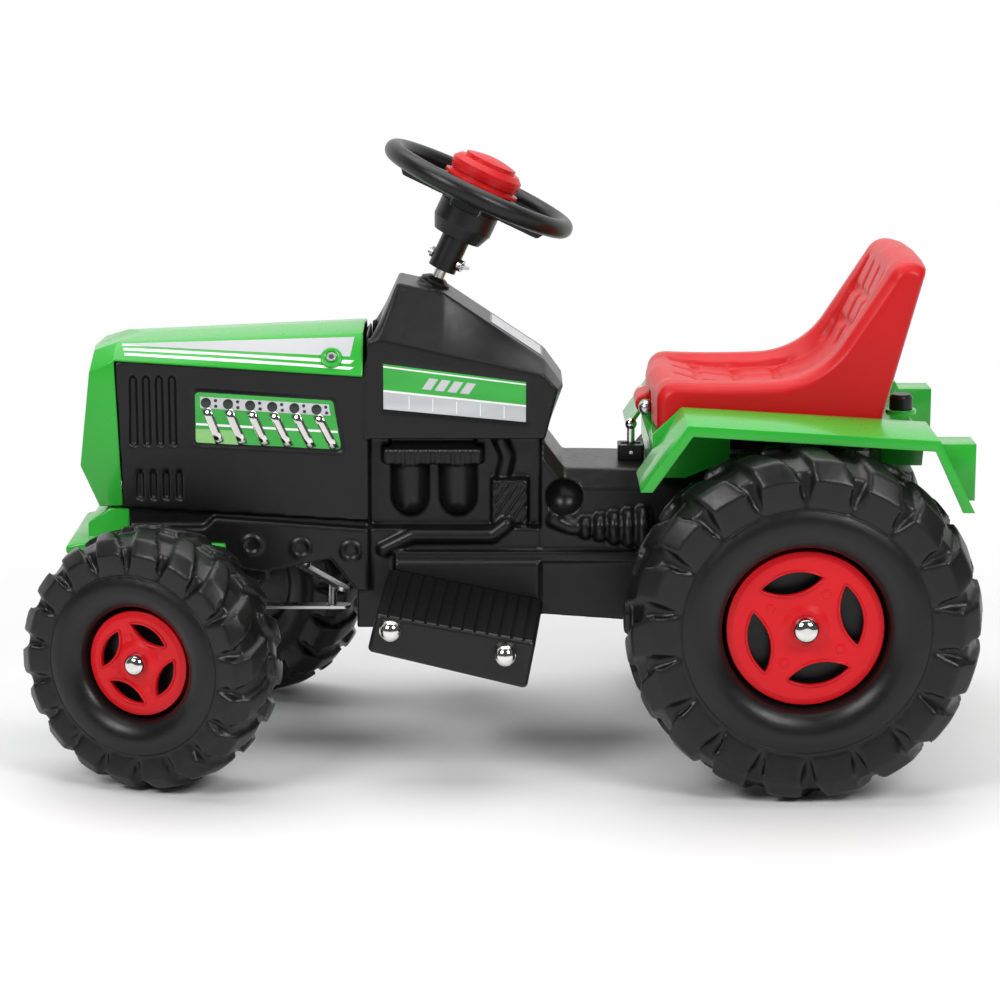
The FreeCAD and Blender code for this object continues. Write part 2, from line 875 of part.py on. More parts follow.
def lug_ring(name, radius, half_width):
    """Two rows of slanted tread lugs, one for each half of the tyre."""
    top = [(radius * r, half_width * w) for r, w in LUG_TOP_SHARES]
    under = [(radius * r, half_width * w) for r, w in LUG_UNDER_SHARES]
    envelope = turned(name + "_envelope", top + [(radius, 0)] + under)
    pitch = radius * (2 * math.pi) / size.lug_count
    plan = [(pitch * t, half_width * w) for t, w in LUG_PLAN_SHARES]
    blade = prism(name + "_blade", "YZ_Plane", plan, radius, offset=0)
    lug = common(name + "_one", envelope, blade)
    other_half = add("Part::Mirroring", name + "_other")
    other_half.Source = lug
    other_half.Normal = V(0, 0, 1)
    step = 360.0 / size.lug_count.number
    lugs = []
    for i in range(int(size.lug_count.number)):
        for half, shift in ((lug, 0), (other_half, LUG_STAGGER_SHARE)):
            turn = Rotation(V(0, 0, 1), (i + shift) * step)
            lugs.append(posed(name + "_copy", half, Placement(V(0, 0, 0), turn)))
    return lugs


def tyre(name, radius, half_width, lug_height, disc_radius, web_back, web_front):
    """A hollow blow-moulded wheel: hub web, deep well for the disc, ring, and lugged tread."""
    bore = size.bush_radius + size.running_gap
    well = disc_radius + size.well_clearance
    lip = well + size.well_flare
    ring_end = (radius * TYRE_RING_SHARES["end_radius"], half_width * TYRE_RING_SHARES["end_width"])
    ring_mid = (radius * TYRE_RING_SHARES["mid_radius"], half_width * TYRE_RING_SHARES["mid_width"])
    lip_point = (lip, half_width * TYRE_WELL_WIDTH_SHARE)
    base = [(radius * r, half_width * w) for r, w in TYRE_BASE_SHARES]
    crown = (radius - lug_height, half_width * TYRE_CROWN_WIDTH_SHARE)

    def back(point):
        return (point[0], -point[1])

    outside = [(bore, web_front), (well, web_front), lip_point, ring_end] + base + [crown]
    inside = [back(crown)] + [back(p) for p in reversed(base)]
    inside += [back(ring_end), back(lip_point), (well, -web_back), (bore, -web_back)]
    arc_at = len(outside) + len(base) + 1
    arcs = {2: ring_mid, arc_at: back(ring_mid)}
    solid = turned(name + "_solid", outside + inside, arcs)
    wall = size.tyre_wall
    room = [(lip + wall, lip_point[1] - wall), (ring_mid[0], ring_mid[1] - wall),
            (ring_end[0], ring_end[1] - wall * 2)]
    room += [(r - wall, w - wall) for r, w in base[1:] + [crown]]
    hollow = turned(name + "_hollow", room + [back(p) for p in reversed(room)])
    treaded = fuse(name + "_treaded", solid, *lug_ring(name + "_lugs", radius, half_width), refine=False)
    return cut(name, treaded, hollow)


def disc(name, radius, height, web_front):
    """A coloured wheel disc: a shallow cup with four leaf-shaped slots in raised lips."""
    wall = size.disc_wall
    bore = size.axle_radius + size.disc_bore_gap
    face = web_front + height
    boss = size.disc_boss_radius
    skirt = [(radius - wall, web_front), (radius, web_front), (radius, face)]
    front = [(radius - wall * 2, face + size.disc_rim_height), (boss + wall * 2, face)]
    middle = [(boss, face + size.disc_boss_height), (bore, face + size.disc_boss_height)]
    under = [(bore, face - wall), (radius - wall, face - wall)]
    body = turned(name, skirt + front + middle + under)
    half_length = radius * SLOT_LENGTH_SHARE / 2
    half_width = radius * SLOT_WIDTH_SHARE / 2
    centre = radius * SLOT_RADIUS_SHARE
    skew = math.radians(size.slot_skew_deg.number)

    def leaf(grow):
        along = (math.sin(skew), math.cos(skew))
        across = (math.cos(skew), -math.sin(skew))
        reach = half_length + grow
        bulge = half_width + grow

        def at(a, c):
            return (centre + a * along[0] + c * across[0], a * along[1] + c * across[1])

        return [at(-reach, 0), at(reach, 0)], {0: at(0, bulge), 1: at(0, -bulge)}

    lip_points, lip_arcs = leaf(size.slot_lip)
    slot_points, slot_arcs = leaf(0)
    lip_sketch = outline_sketch(body, "XY_Plane", lip_points, lip_arcs, face - wall)
    lip = body.newObject("PartDesign::Pad", name + "_lip")
    lip.Profile = lip_sketch
    bind(lip, "Length", wall + size.disc_rim_height)
    slot_sketch = outline_sketch(body, "XY_Plane", slot_points, slot_arcs, face + size.overrun)
    slot = body.newObject("PartDesign::Pocket", name + "_slot")
    slot.Profile = slot_sketch
    bind(slot, "Length", size.overrun + height)
    pattern = body.newObject("PartDesign::PolarPattern", name + "_slots")
    pattern.Originals = [lip, slot]
    pattern.Axis = (origin_plane(body, "Z_Axis"), [""])
    pattern.Angle = 360
    bind(pattern, "Occurrences", size.slot_count)
    body.Tip = pattern
    return body


def dome_cap(name, radius):
    """A push-on dome cap with a blind hole, its seat at local height zero."""
    hole = size.axle_radius + size.running_gap
    depth = size.cap_seat_depth
    rim = radius * DOME_RIM_SHARE
    top = radius * DOME_TOP_SHARE
    points = [(hole, 0), (radius, 0), (radius, rim), (radius * DOME_FLAT_SHARE, top), (0, top), (0, depth),
              (hole, depth)]
    return turned(name, points, {2: (radius * DOME_MID_SHARE, rim + (top - rim) * DOME_RISE_SHARE)})


def wheel(name, radius, half_width, lug_height, disc_radius, web_back, web_front, disc_height):
    """One wheel about its own axis: tyre, disc and the bush it turns on."""
    body = tyre(name + "_tyre_form", radius, half_width, lug_height, disc_radius, web_back, web_front)
    cover = disc(name + "_disc_form", disc_radius, disc_height, web_front)
    bush = ring(name + "_bush_form", size.axle_radius + size.running_gap, size.bush_radius,
                -web_back, web_front)
    return {"tyre": body, "disc": cover, "bush": bush}


def wheel_turn(part_name, turn):
    """A disc stands turned on its wheel; the rest is set straight."""
    if part_name == "disc":
        return outboard_left.multiply(Rotation(V(0, 0, 1), turn.number))
    return outboard_left


rear = wheel("rear", size.rear_radius, size.rear_half_width, size.rear_lug_height, size.rear_disc_radius,
             size.rear_web_back, size.rear_web_front, size.rear_disc_height)
front = wheel("front", size.front_radius, size.front_half_width, size.front_lug_height,
              size.front_disc_radius, size.front_web_back, size.front_web_front, size.front_disc_height)

rear_centre = vector(size.rear_axle_x, -size.rear_track_half, size.rear_radius)
for part_name, form in rear.items():
    turn = wheel_turn(part_name, size.rear_disc_turn_deg)
    left = node("rear_%s_left" % part_name, placed(form, Placement(rear_centre, turn)))
    node("rear_%s_right" % part_name, mirrored("rear_%s_right" % part_name, left))

front_reach = size.kingpin_y + size.stub_length
front_centre = vector(size.kingpin_x, -front_reach, size.front_radius)
for part_name, form in front.items():
    turn = wheel_turn(part_name, size.front_disc_turn_deg)
    straight = placed(form, Placement(front_centre, turn))
    node("front_%s_left" % part_name, posed("front_%s_left" % part_name, straight, knuckle_frame(-1)))
    other = mirrored("front_%s_other" % part_name, straight)
    node("front_%s_right" % part_name, posed("front_%s_right" % part_name, other, knuckle_frame(1)))

rear_face = size.rear_web_front + size.rear_disc_height + size.disc_boss_height + size.seat_gap
front_face = size.front_web_front + size.front_disc_height + size.disc_boss_height + size.seat_gap
rear_axle_half = size.rear_track_half + rear_face + size.cap_seat_depth - size.seat_gap
node("rear_axle", cylinder("rear_axle", size.axle_radius, rear_axle_half * 2,
                           (size.rear_axle_x, -rear_axle_half, size.rear_radius), "y"))
rear_cap = dome_cap("rear_cap_form", size.rear_cap_radius)
rear_cap_place = vector(size.rear_axle_x, -(size.rear_track_half + rear_face), size.rear_radius)
placed(rear_cap, Placement(rear_cap_place, outboard_left))
node("rear_axle_caps", both_sides("rear_axle_caps", rear_cap))
front_cap = dome_cap("front_cap_form", size.front_cap_radius)
front_cap_place = vector(size.kingpin_x, -(front_reach + front_face), size.front_radius)
placed(front_cap, Placement(front_cap_place, outboard_left))
node("front_axle_cap_left", posed("front_axle_cap_left", front_cap, knuckle_frame(-1)))
node("front_axle_cap_right", posed("front_axle_cap_right", mirrored("front_cap_other", front_cap),
                                   knuckle_frame(1)))


# Front axle, knuckles and tie bar

def knuckle():
    """Left steering knuckle, straight ahead: kingpin, boss, stub axle, arm and its pin."""
    x, y = size.kingpin_x, -size.kingpin_y
    stub_end = front_face + size.cap_seat_depth - size.seat_gap + size.stub_length
    pin = cylinder("kingpin", size.kingpin_radius, size.kingpin_top - size.knuckle_boss_bottom,
                   (x, y, size.knuckle_boss_bottom))
    boss = cylinder("knuckle_boss", size.knuckle_boss_radius,
                    size.knuckle_boss_top - size.knuckle_boss_bottom, (x, y, size.knuckle_boss_bottom))
    stub = cylinder("stub_axle", size.axle_radius, stub_end, (x, y - stub_end, size.front_radius), "y")
    shoulder = cylinder("stub_shoulder", size.bush_radius,
                        size.stub_length - size.front_web_back - size.seat_gap,
                        (x, y - (size.stub_length - size.front_web_back - size.seat_gap), size.front_radius),
                        "y")
    half = size.arm_width / 2
    reach = size.steer_arm
    outline = [(x, y - half), (x + reach, y - half), (x + reach, y + half), (x, y + half)]
    arm = prism("steer_arm", "XY_Plane", outline, size.arm_thickness, size.arm_top - size.arm_thickness,
                {1: (x + reach + half, y)})
    arm_pin = cylinder("arm_pin", size.arm_pin_radius, size.arm_pin_height + size.arm_thickness,
                       (x + reach, y, size.arm_top - size.arm_thickness))
    return fuse("knuckle_form", pin, boss, stub, shoulder, arm, arm_pin)


knuckle_form = knuckle()
node("knuckle_left", posed("knuckle_left", knuckle_form, knuckle_frame(-1)))
node("knuckle_right", posed("knuckle_right", mirrored("knuckle_other", knuckle_form), knuckle_frame(1)))

clip = ring("clip_form", size.kingpin_radius + size.running_gap, size.kingpin_bush_flange, 0, size.clip_height)
clip_z = size.beam_top + size.bush_flange_height + size.seat_gap
place(clip, (size.kingpin_x, -size.kingpin_y, clip_z))
node("kingpin_clip_left", posed("kingpin_clip_left", clip, knuckle_frame(-1)))
node("kingpin_clip_right", posed("kingpin_clip_right", mirrored("clip_other", clip), knuckle_frame(1)))


def front_beam():
    half = size.beam_width / 2
    low = (size.kingpin_x - half, -size.beam_half_length, size.beam_bottom)
    high = (size.kingpin_x + half, size.beam_half_length, size.beam_top)
    block = rounded("beam_block", box("beam_bar", low, high), half / 2, edge_along(V(0, 0, 1)))
    tools = []
    for side in (-1, 1):
        for y, radius in ((size.kingpin_y, size.kingpin_bush_radius + size.running_gap),
                          (size.beam_bolt_y, size.beam_bolt_radius + size.seat_gap)):
            tools.append(cylinder("beam_hole", radius, size.beam_top - size.beam_bottom + size.overrun * 2,
                                  (size.kingpin_x, y * side, size.beam_bottom - size.overrun)))
    return cut("front_axle_beam", block, *tools)


node("front_axle_beam", front_beam())


def kingpin_bush():
    """A flanged bush above and below the beam, as one moulded pair."""
    inner = size.kingpin_radius + size.running_gap
    body, flange = size.kingpin_bush_radius, size.kingpin_bush_flange
    low = size.beam_bottom - size.bush_flange_height
    middle = (size.beam_bottom + size.beam_top) / 2
    top = size.beam_top + size.bush_flange_height
    lower = turned("bush_low", [(inner, low), (flange, low), (flange, size.beam_bottom),
                                (body, size.beam_bottom), (body, middle), (inner, middle)])
    upper = turned("bush_high", [(inner, middle), (body, middle), (body, size.beam_top),
                                 (flange, size.beam_top), (flange, top), (inner, top)])
    for part in (lower, upper):
        place(part, (size.kingpin_x, -size.kingpin_y, 0))
    return group("kingpin_bush_form", lower, upper)


node("kingpin_bushes", both_sides("kingpin_bushes", kingpin_bush()))


def beam_bolt():
    head = prism("bolt_head", "XY_Plane", hexagon(size.beam_bolt_head), size.beam_bolt_radius, offset=0)
    place(head, (size.kingpin_x, -size.beam_bolt_y, size.beam_bottom - size.beam_bolt_radius))
    shank = cylinder("bolt_shank", size.beam_bolt_radius,
                     size.beam_top - size.beam_bottom + size.beam_bolt_depth + size.beam_bolt_radius / 2,
                     (size.kingpin_x, -size.beam_bolt_y, size.beam_bottom - size.beam_bolt_radius / 2))
    return fuse("beam_bolt", head, shank)


def hexagon(radius):
    corners = [math.radians(60 * i) for i in range(6)]
    return [(radius * math.cos(a), radius * math.sin(a)) for a in corners]


node("front_axle_bolts", both_sides("front_axle_bolts", beam_bolt()))

# Along the steering axis the crank pin meets the tie bar at this depth below the rim plane
tilt = math.radians(size.column_tilt_deg.number)
tie_z = size.arm_top + size.slide_gap
tie_mid_z = tie_z + size.tie_bar_thickness / 2
pin_depth = (size.wheel_centre_z - size.steer_arm * math.sin(tilt) - tie_mid_z) / math.cos(tilt)
pin_x = size.wheel_centre_x + size.steer_arm * math.cos(tilt) - pin_depth * math.sin(tilt)


def tie_bar():
    """Flat bar over both steering arms, with a tongue back to the crank pin."""
    half = size.tie_bar_width / 2
    x = size.kingpin_x + size.steer_arm
    end = size.kingpin_y + size.tie_bar_overhang
    tip = pin_x + size.tongue_end_overhang
    points = [(x - half, -end), (x + half, -end), (x + half, -half), (tip, -half),
              (tip, half), (x + half, half), (x + half, end), (x - half, end)]
    pin_hole = size.arm_pin_radius + size.running_gap
    crank_hole = size.arm_pin_radius + size.crank_hole_play
    holes = [(x, -size.kingpin_y, pin_hole), (x, size.kingpin_y, pin_hole), (pin_x, 0, crank_hole)]
    plate = prism("tie_plate", "XY_Plane", points, size.tie_bar_thickness, tie_z,
                  {3: (tip + half, 0)}, holes)
    arm = size.steer_arm.number
    rest = math.radians(size.steer_rest_deg.number)
    shift = V(arm * (math.cos(rest) - 1), arm * math.sin(rest), 0)
    return posed("tie_bar", plate, Placement(shift, Rotation()))


node("tie_bar", tie_bar())

# Steering column, wheel and horn, each made about the steering axis


def steering_column():
    rod = cylinder("column_rod", size.column_radius, size.column_bottom - size.column_top,
                   (0, 0, -size.column_bottom))
    half = size.crank_width / 2
    reach = size.steer_arm
    outline = [(0, -half), (reach, -half), (reach, half), (0, half)]
    arm = prism("crank_arm", "XY_Plane", outline, size.crank_thickness, -size.column_bottom,
                {1: (reach + half, 0), 3: (-half, 0)})
    pin = add("Part::Cylinder", "crank_pin")
    bind(pin, "Radius", size.arm_pin_radius)
    foot_depth = size.tie_bar_thickness * CRANK_PIN_FOOT_SHARE
    pin_length = pin_depth - size.column_bottom + size.crank_thickness + foot_depth
    bind(pin, "Height", pin_length)
    upright = Rotation(V(0, 1, 0), -size.column_tilt_deg.number)
    at_bar = vector(reach, 0, -pin_depth)
    foot = at_bar + upright.multVec(V(0, 0, -foot_depth.number))
    pin.Placement = Placement(foot, upright)
    return posed("steering_column", fuse("column_form", rod, arm, pin), steering_frame)


node("steering_column", steering_column())


def steering_wheel():
    rim = add("Part::Torus", "rim")
    bind(rim, "Radius1", size.rim_radius)
    bind(rim, "Radius2", size.rim_tube)
    hub = turned("wheel_hub", [(size.column_radius + size.running_gap, -size.hub_bottom),
                               (size.cup_radius, -size.hub_bottom), (size.hub_radius, -size.hub_top),
                               (size.hub_radius, size.hub_top),
                               (size.column_radius + size.running_gap, size.hub_top)])
    rim_end, tube = size.rim_radius, size.rim_tube
    root = size.hub_radius * SPOKE_ROOT_SHARE
    outline = [(root, -size.spoke_depth), (rim_end * SPOKE_KNEE_SHARE, -size.spoke_depth),
               (rim_end * SPOKE_TOE_SHARE, -tube), (rim_end, -tube * SPOKE_LOW_SHARE),
               (rim_end, tube * SPOKE_HIGH_SHARE), (rim_end * SPOKE_KNEE_SHARE, -tube * SPOKE_LOW_SHARE),
               (root, size.hub_top / 2)]
    step = 360.0 / size.spoke_count.number
    spokes = []
    for i in range(int(size.spoke_count.number)):
        spoke = prism("spoke_%d" % i, "XZ_Plane", outline, size.spoke_width)
        turn = Rotation(V(0, 0, 1), i * step + size.spoke_turn_deg.number)
        spoke.Placement = Placement(V(0, 0, 0), turn)
        spokes.append(spoke)
    blind = cylinder("hub_blind", size.column_radius + size.running_gap,
                     size.hub_bottom + size.hub_top * HUB_BORE_TOP_SHARE,
                     (0, 0, -size.hub_bottom * HUB_BORE_LOW_SHARE))
    whole = cut("wheel_bored", fuse("wheel_whole", rim, hub, *spokes), blind)
    return posed("steering_wheel", whole, steering_frame)


node("steering_wheel", steering_wheel())


def wheel_socket():
    """Cup under the wheel and the sleeve that clamps the column."""
    bore = size.column_radius + size.running_gap
    points = [(bore, -size.sleeve_bottom), (size.sleeve_radius, -size.sleeve_bottom),
              (size.sleeve_radius, -size.cup_bottom), (size.cup_low_radius, -size.cup_bottom),
              (size.cup_radius, -size.cup_bottom * CUP_SHOULDER_SHARE), (size.cup_radius, -size.hub_bottom),
              (bore, -size.hub_bottom)]
    body = turned("socket_body", points)
    hole = cylinder("clamp_hole", size.clamp_radius + size.running_gap, size.clamp_half_length * 2,
                    (-size.clamp_half_length, 0, -size.clamp_depth), "x")
    return posed("wheel_socket", cut("socket_cut", body, hole), steering_frame)


node("wheel_socket", wheel_socket())
doc.recompute()


def clamp_screw():
    """Screw across the sleeve and the column, with a wing nut."""
    shank = cylinder("clamp_shank", size.clamp_radius, size.clamp_half_length * 2,
                     (-size.clamp_half_length, 0, -size.clamp_depth), "x")
    head = cylinder("clamp_head", size.clamp_radius * CLAMP_HEAD_SHARE, size.clamp_radius,
                    (-size.sleeve_radius - size.clamp_radius, 0, -size.clamp_depth), "x")
    nut = cylinder("clamp_nut", size.clamp_radius * 2, size.wing_thickness * WING_NUT_SHARE,
                   (size.sleeve_radius, 0, -size.clamp_depth), "x")
    wing = box("clamp_wing", (size.sleeve_radius + size.wing_thickness, -size.wing_length / 2,
                              -size.clamp_depth - size.wing_thickness / 2),
               (size.sleeve_radius + size.wing_thickness * WING_REACH_SHARE, size.wing_length / 2,
                -size.clamp_depth + size.wing_thickness / 2))
    return posed("clamp_screw", fuse("clamp_form", shank, head, nut, wing), steering_frame)


node("clamp_screw", clamp_screw())
column_hole = cylinder("column_hole", size.clamp_radius + size.running_gap, size.clamp_half_length * 2,
                       (-size.clamp_half_length, 0, -size.clamp_depth), "x")
nodes["steering_column"].Links = [cut("column_drilled", nodes["steering_column"].Links[0], column_hole)]


def horn():
    """Horn base with its guide ring, the button that slides over the ring, and the spring between them."""
    wall = size.horn_wall
    low = size.hub_top
    flange = low + size.horn_flange_height
    button_radius, step_radius = size.horn_button_radius, size.horn_step_radius
    guide = button_radius - wall - size.slide_gap
    guide_top = flange + size.horn_guide_height
    base = turned("horn_base_form", [(0, low), (size.horn_radius, low), (size.horn_radius, flange),
                                     (guide, flange), (guide, guide_top), (guide - wall, guide_top),
                                     (guide - wall, flange), (0, flange)])
    foot = flange + size.horn_travel + size.slide_gap
    skirt = foot + size.horn_skirt_height
    step = skirt + size.horn_step_height
    crown = step + size.horn_crown_height
    points = [(0, skirt - wall), (button_radius - wall, skirt - wall), (button_radius - wall, foot),
              (button_radius - size.horn_foot_bevel, foot), (button_radius, foot + size.horn_bevel),
              (button_radius, skirt - size.horn_bevel), (button_radius - size.horn_bevel, skirt),
              (step_radius, skirt), (step_radius, step), (step_radius * DOME_FLAT_SHARE, crown), (0, crown)]
    middle = (step_radius * HORN_MID_SHARE, step + size.horn_crown_height * HORN_RISE_SHARE)
    button = turned("horn_button_form", points, {8: middle})
    return base, button, flange, skirt - wall


horn_base, horn_button, spring_low, spring_high = horn()
node("horn_base", posed("horn_base", horn_base, steering_frame))
node("horn_button", posed("horn_button", horn_button, steering_frame))


def coil(low, high, radius, wire, turns):
    """A compression spring between two seats: a helix of round wire."""
    start = number_of(low) + number_of(wire)
    height = number_of(high) - number_of(low) - 2 * number_of(wire)
    around = number_of(radius)
    path = Part.makeHelix(height / number_of(turns), height, around)
    path.translate(V(0, 0, start))
    section = Part.Wire([Part.makeCircle(number_of(wire), V(around, 0, start), V(0, 1, 0))])
    sweep = Part.Wire(path).makePipeShell([section], True, True)
    obj = add("Part::Feature", "horn_spring_form")
    obj.Shape = sweep
    return obj


node("horn_spring", posed("horn_spring", coil(spring_low, spring_high, size.horn_spring_radius,
                                              size.horn_spring_wire, size.horn_spring_turns), steering_frame))


# Bonnet: one thin moulding over the front of the body

def bonnet_section(drop, setback, inset):
    """Side outline of the bonnet at one distance from its middle, drawn in by inset."""
    down = drop + inset
    back = setback + inset
    return [
        (size.bonnet_nose_top_x + back, size.bonnet_nose_top_z - down),
        (size.bonnet_nose_x + back, size.bonnet_nose_z),
        (size.bonnet_chin_x + back, size.bonnet_chin_z + inset),
    ], [
        (size.bonnet_rear_x, size.bonnet_top_rear - down),
        (size.bonnet_shoulder_x, size.bonnet_top_front - down),
    ]


def bonnet_stations(inset):
    """Half widths from the edge to the middle, with the drop and setback at each."""
    half = size.bonnet_half - inset
    edge = half - size.bonnet_edge_width
    crown = edge - size.bonnet_crown_width
    return [(half, size.bonnet_edge_drop, size.bonnet_setback),
            (edge, size.bonnet_edge_drop * EDGE_DROP_SHARE, size.bonnet_setback * EDGE_SETBACK_SHARE),
            (crown, size.bonnet_edge_drop * CROWN_DROP_SHARE, size.bonnet_setback * CROWN_SETBACK_SHARE),
            (0, 0, 0)]


def bonnet():
    outer, inner = [], []
    for y, drop, setback in bonnet_stations(0):
        nose, top = bonnet_section(drop, setback, 0)
        low = [(size.cowl_rear_low_x, size.cowl_rear_low_z), (size.cowl_rear_top_x, size.bonnet_strip_front_z),
               (size.bonnet_rear_x, size.bonnet_strip_rear_z)]
        outer.append((y, top + nose + low))
    behind = size.bonnet_rear_x + size.overrun
    for y, drop, setback in bonnet_stations(size.bonnet_wall):
        nose, top = bonnet_section(drop, setback, size.bonnet_wall)
        low = [(behind, size.cowl_rear_low_z + size.bonnet_wall), (behind, top[0][1])]
        inner.append((y, top + nose + low))
    outside = lofted("bonnet_outside", "XZ_Plane", mirrored_sections(outer))
    inside = lofted("bonnet_inside", "XZ_Plane", mirrored_sections(inner))
    shell = cut("bonnet_shell", outside, inside)
    boss_from = -size.bonnet_half - size.bonnet_boss_height
    boss = cylinder("bonnet_boss", size.bonnet_boss_radius, size.bonnet_boss_height + size.bonnet_wall,
                    (size.bonnet_screw_x, boss_from, size.bonnet_screw_z), "y")
    hole = cylinder("bonnet_hole", size.screw_radius + size.seat_gap, size.overrun,
                    (size.bonnet_screw_x, -size.bonnet_half - size.overrun / 2, size.bonnet_screw_z), "y")
    bossed = fuse("bonnet_bossed", shell, boss, mirrored("bonnet_boss_other", boss))
    return cut("bonnet", bossed, hole, mirrored("bonnet_hole_other", hole))


node("bonnet", bonnet())


def bonnet_screw():
    outer = size.bonnet_half + size.bonnet_boss_height
    head = cylinder("screw_head", size.screw_head_radius, size.screw_head_height,
                    (size.bonnet_screw_x, -outer - size.screw_head_height, size.bonnet_screw_z), "y")
    shank = cylinder("screw_shank", size.screw_radius, size.screw_length,
                     (size.bonnet_screw_x, -outer, size.bonnet_screw_z), "y")
    return fuse("bonnet_screw", head, shank)


node("bonnet_screws", both_sides("bonnet_screws", bonnet_screw()))


# Main body: one blow-moulded hull

def bonnet_block():
    """The hull under the bonnet, a fit inside it."""
    inset = size.bonnet_wall + size.seat_gap
    sections = []
    for y, drop, setback in bonnet_stations(inset)[:3]:
        nose, top = bonnet_section(drop + size.bonnet_crown_gap, setback, inset)
        front_top = (size.cowl_rear_top_x + size.seat_gap, top[1][1] - size.bonnet_edge_drop)
        sections.append((y, [(size.console_front_x, size.panel_bottom_rear),
                             (size.console_front_x, top[0][1]), top[1], front_top,
                             (size.panel_front_x, size.panel_bottom_front)]))
    return lofted("bonnet_block", "XZ_Plane", mirrored_sections(sections))


def console():
    side = [(size.console_toe_x, size.console_low_z),
            (size.console_front_x, size.shoulder_front_z - size.console_lip),
            (size.console_neck_x, size.shoulder_front_z), (size.console_top_rear_x, size.shoulder_mid_z),
            (size.shoulder_rear_x, size.shoulder_rear_z), (size.shoulder_nose_x, size.dash_nose_z),
            (size.console_low_rear_x, size.console_low_z)]
    top = [(size.console_toe_x, size.console_low_z), (size.console_neck_x, size.console_neck_z),
           (size.console_top_front_x, size.console_top_front_z),
           (size.console_top_rear_x, size.console_top_rear_z),
           (size.dash_low_x, size.dash_low_z), (size.dash_nose_x, size.dash_nose_z),
           (size.console_low_rear_x, size.console_low_z)]
    sections = [(size.console_half, side), (size.console_top_half, top)]
    return lofted("console", "XZ_Plane", mirrored_sections(sections))


def bay_core():
    low, high = size.bay_floor_z, size.console_low_z
    points = [(size.console_front_x, low), (size.console_front_x, high), (size.bay_rear_x, high),
              (size.bay_rear_x, low)]
    return prism("bay_core", "XZ_Plane", points, size.bay_half * 2)


def tail():
    side = [(size.tail_front_x, size.tail_bottom_front),
            (size.tail_front_x, size.console_low_z - size.tail_bevel),
            (size.tail_throat_x, size.tail_top_front - size.tail_bevel),
            (size.tail_rear_x, size.tail_top_rear - size.tail_bevel), (size.tail_rear_x, size.tail_bottom_rear)]
    top = [(size.tail_front_x, size.tail_bottom_front), (size.tail_front_x, size.console_low_z),
           (size.tail_throat_x, size.tail_top_front), (size.tail_rear_x, size.tail_top_rear),
           (size.tail_rear_x, size.tail_bottom_rear)]
    return lofted("tail", "XZ_Plane", mirrored_sections([(size.tail_half, side), (size.tail_top_half, top)]))


def keel():
    """The lower middle of the hull, with a shelf along its sides and the box that carries the footrests."""
    core = prism("keel_core", "XZ_Plane", [
        (size.keel_front_x, size.keel_bottom), (size.keel_front_x, size.arch_low_z),
        (size.console_front_x, size.bay_floor_z), (size.tail_front_x, size.bay_floor_z),
        (size.tail_front_x, size.tail_bottom_front), (size.keel_rear_x, size.keel_bottom)], size.keel_half * 2)
    shelf = box("keel_shelf", (size.shelf_front_x, -size.shelf_half, size.shelf_low_z),
                (size.shelf_rear_x, size.shelf_half, size.shelf_top_z))
    carrier = prism("keel_carrier", "XZ_Plane", [
        (size.shelf_front_x, size.keel_bottom), (size.shelf_front_x, size.shelf_low_z),
        (size.lower_box_rear_x, size.shelf_low_z), (size.lower_box_rear_x, size.tail_bottom_front),
        (size.keel_rear_x, size.keel_bottom)], size.lower_box_half * 2)
    return fuse("keel", core, shelf, carrier)


def front_hull():
    """The lower front of the hull: neck under the panel, pedestal on the axle, wide sill with a ledge."""
    front_x, back = size.panel_front_x, size.console_front_x
    pedestal = prism("front_pedestal", "XZ_Plane", [
        (front_x, size.panel_bottom_front), (front_x, size.front_ledge_z),
        (size.pedestal_front_x, size.pedestal_front_z), (size.pedestal_front_x, size.beam_top),
        (size.pedestal_rear_x, size.beam_top), (size.pedestal_rear_x, size.arch_front_z),
        (size.arch_rear_x, size.arch_rear_z), (size.keel_front_x, size.arch_low_z),
        (back, size.arch_low_z), (back, size.panel_bottom_rear)], size.front_half * 2)
    step_x = size.ledge_step_x
    sill = prism("front_sill", "XZ_Plane", [
        (front_x, size.ledge_front_z), (step_x - size.ledge_step_length, size.ledge_front_z),
        (step_x, size.ledge_step_z), (back, size.ledge_rear_z), (back, size.arch_low_z),
        (size.keel_front_x, size.arch_low_z), (size.arch_rear_x, size.arch_rear_z),
        (size.pedestal_rear_x, size.arch_front_z), (size.sill_low_x, size.sill_low_z),
        (size.pedestal_front_x, size.pedestal_front_z), (front_x, size.sill_front_low_z)], size.sill_half * 2)
    return fuse("front_hull", pedestal, sill)


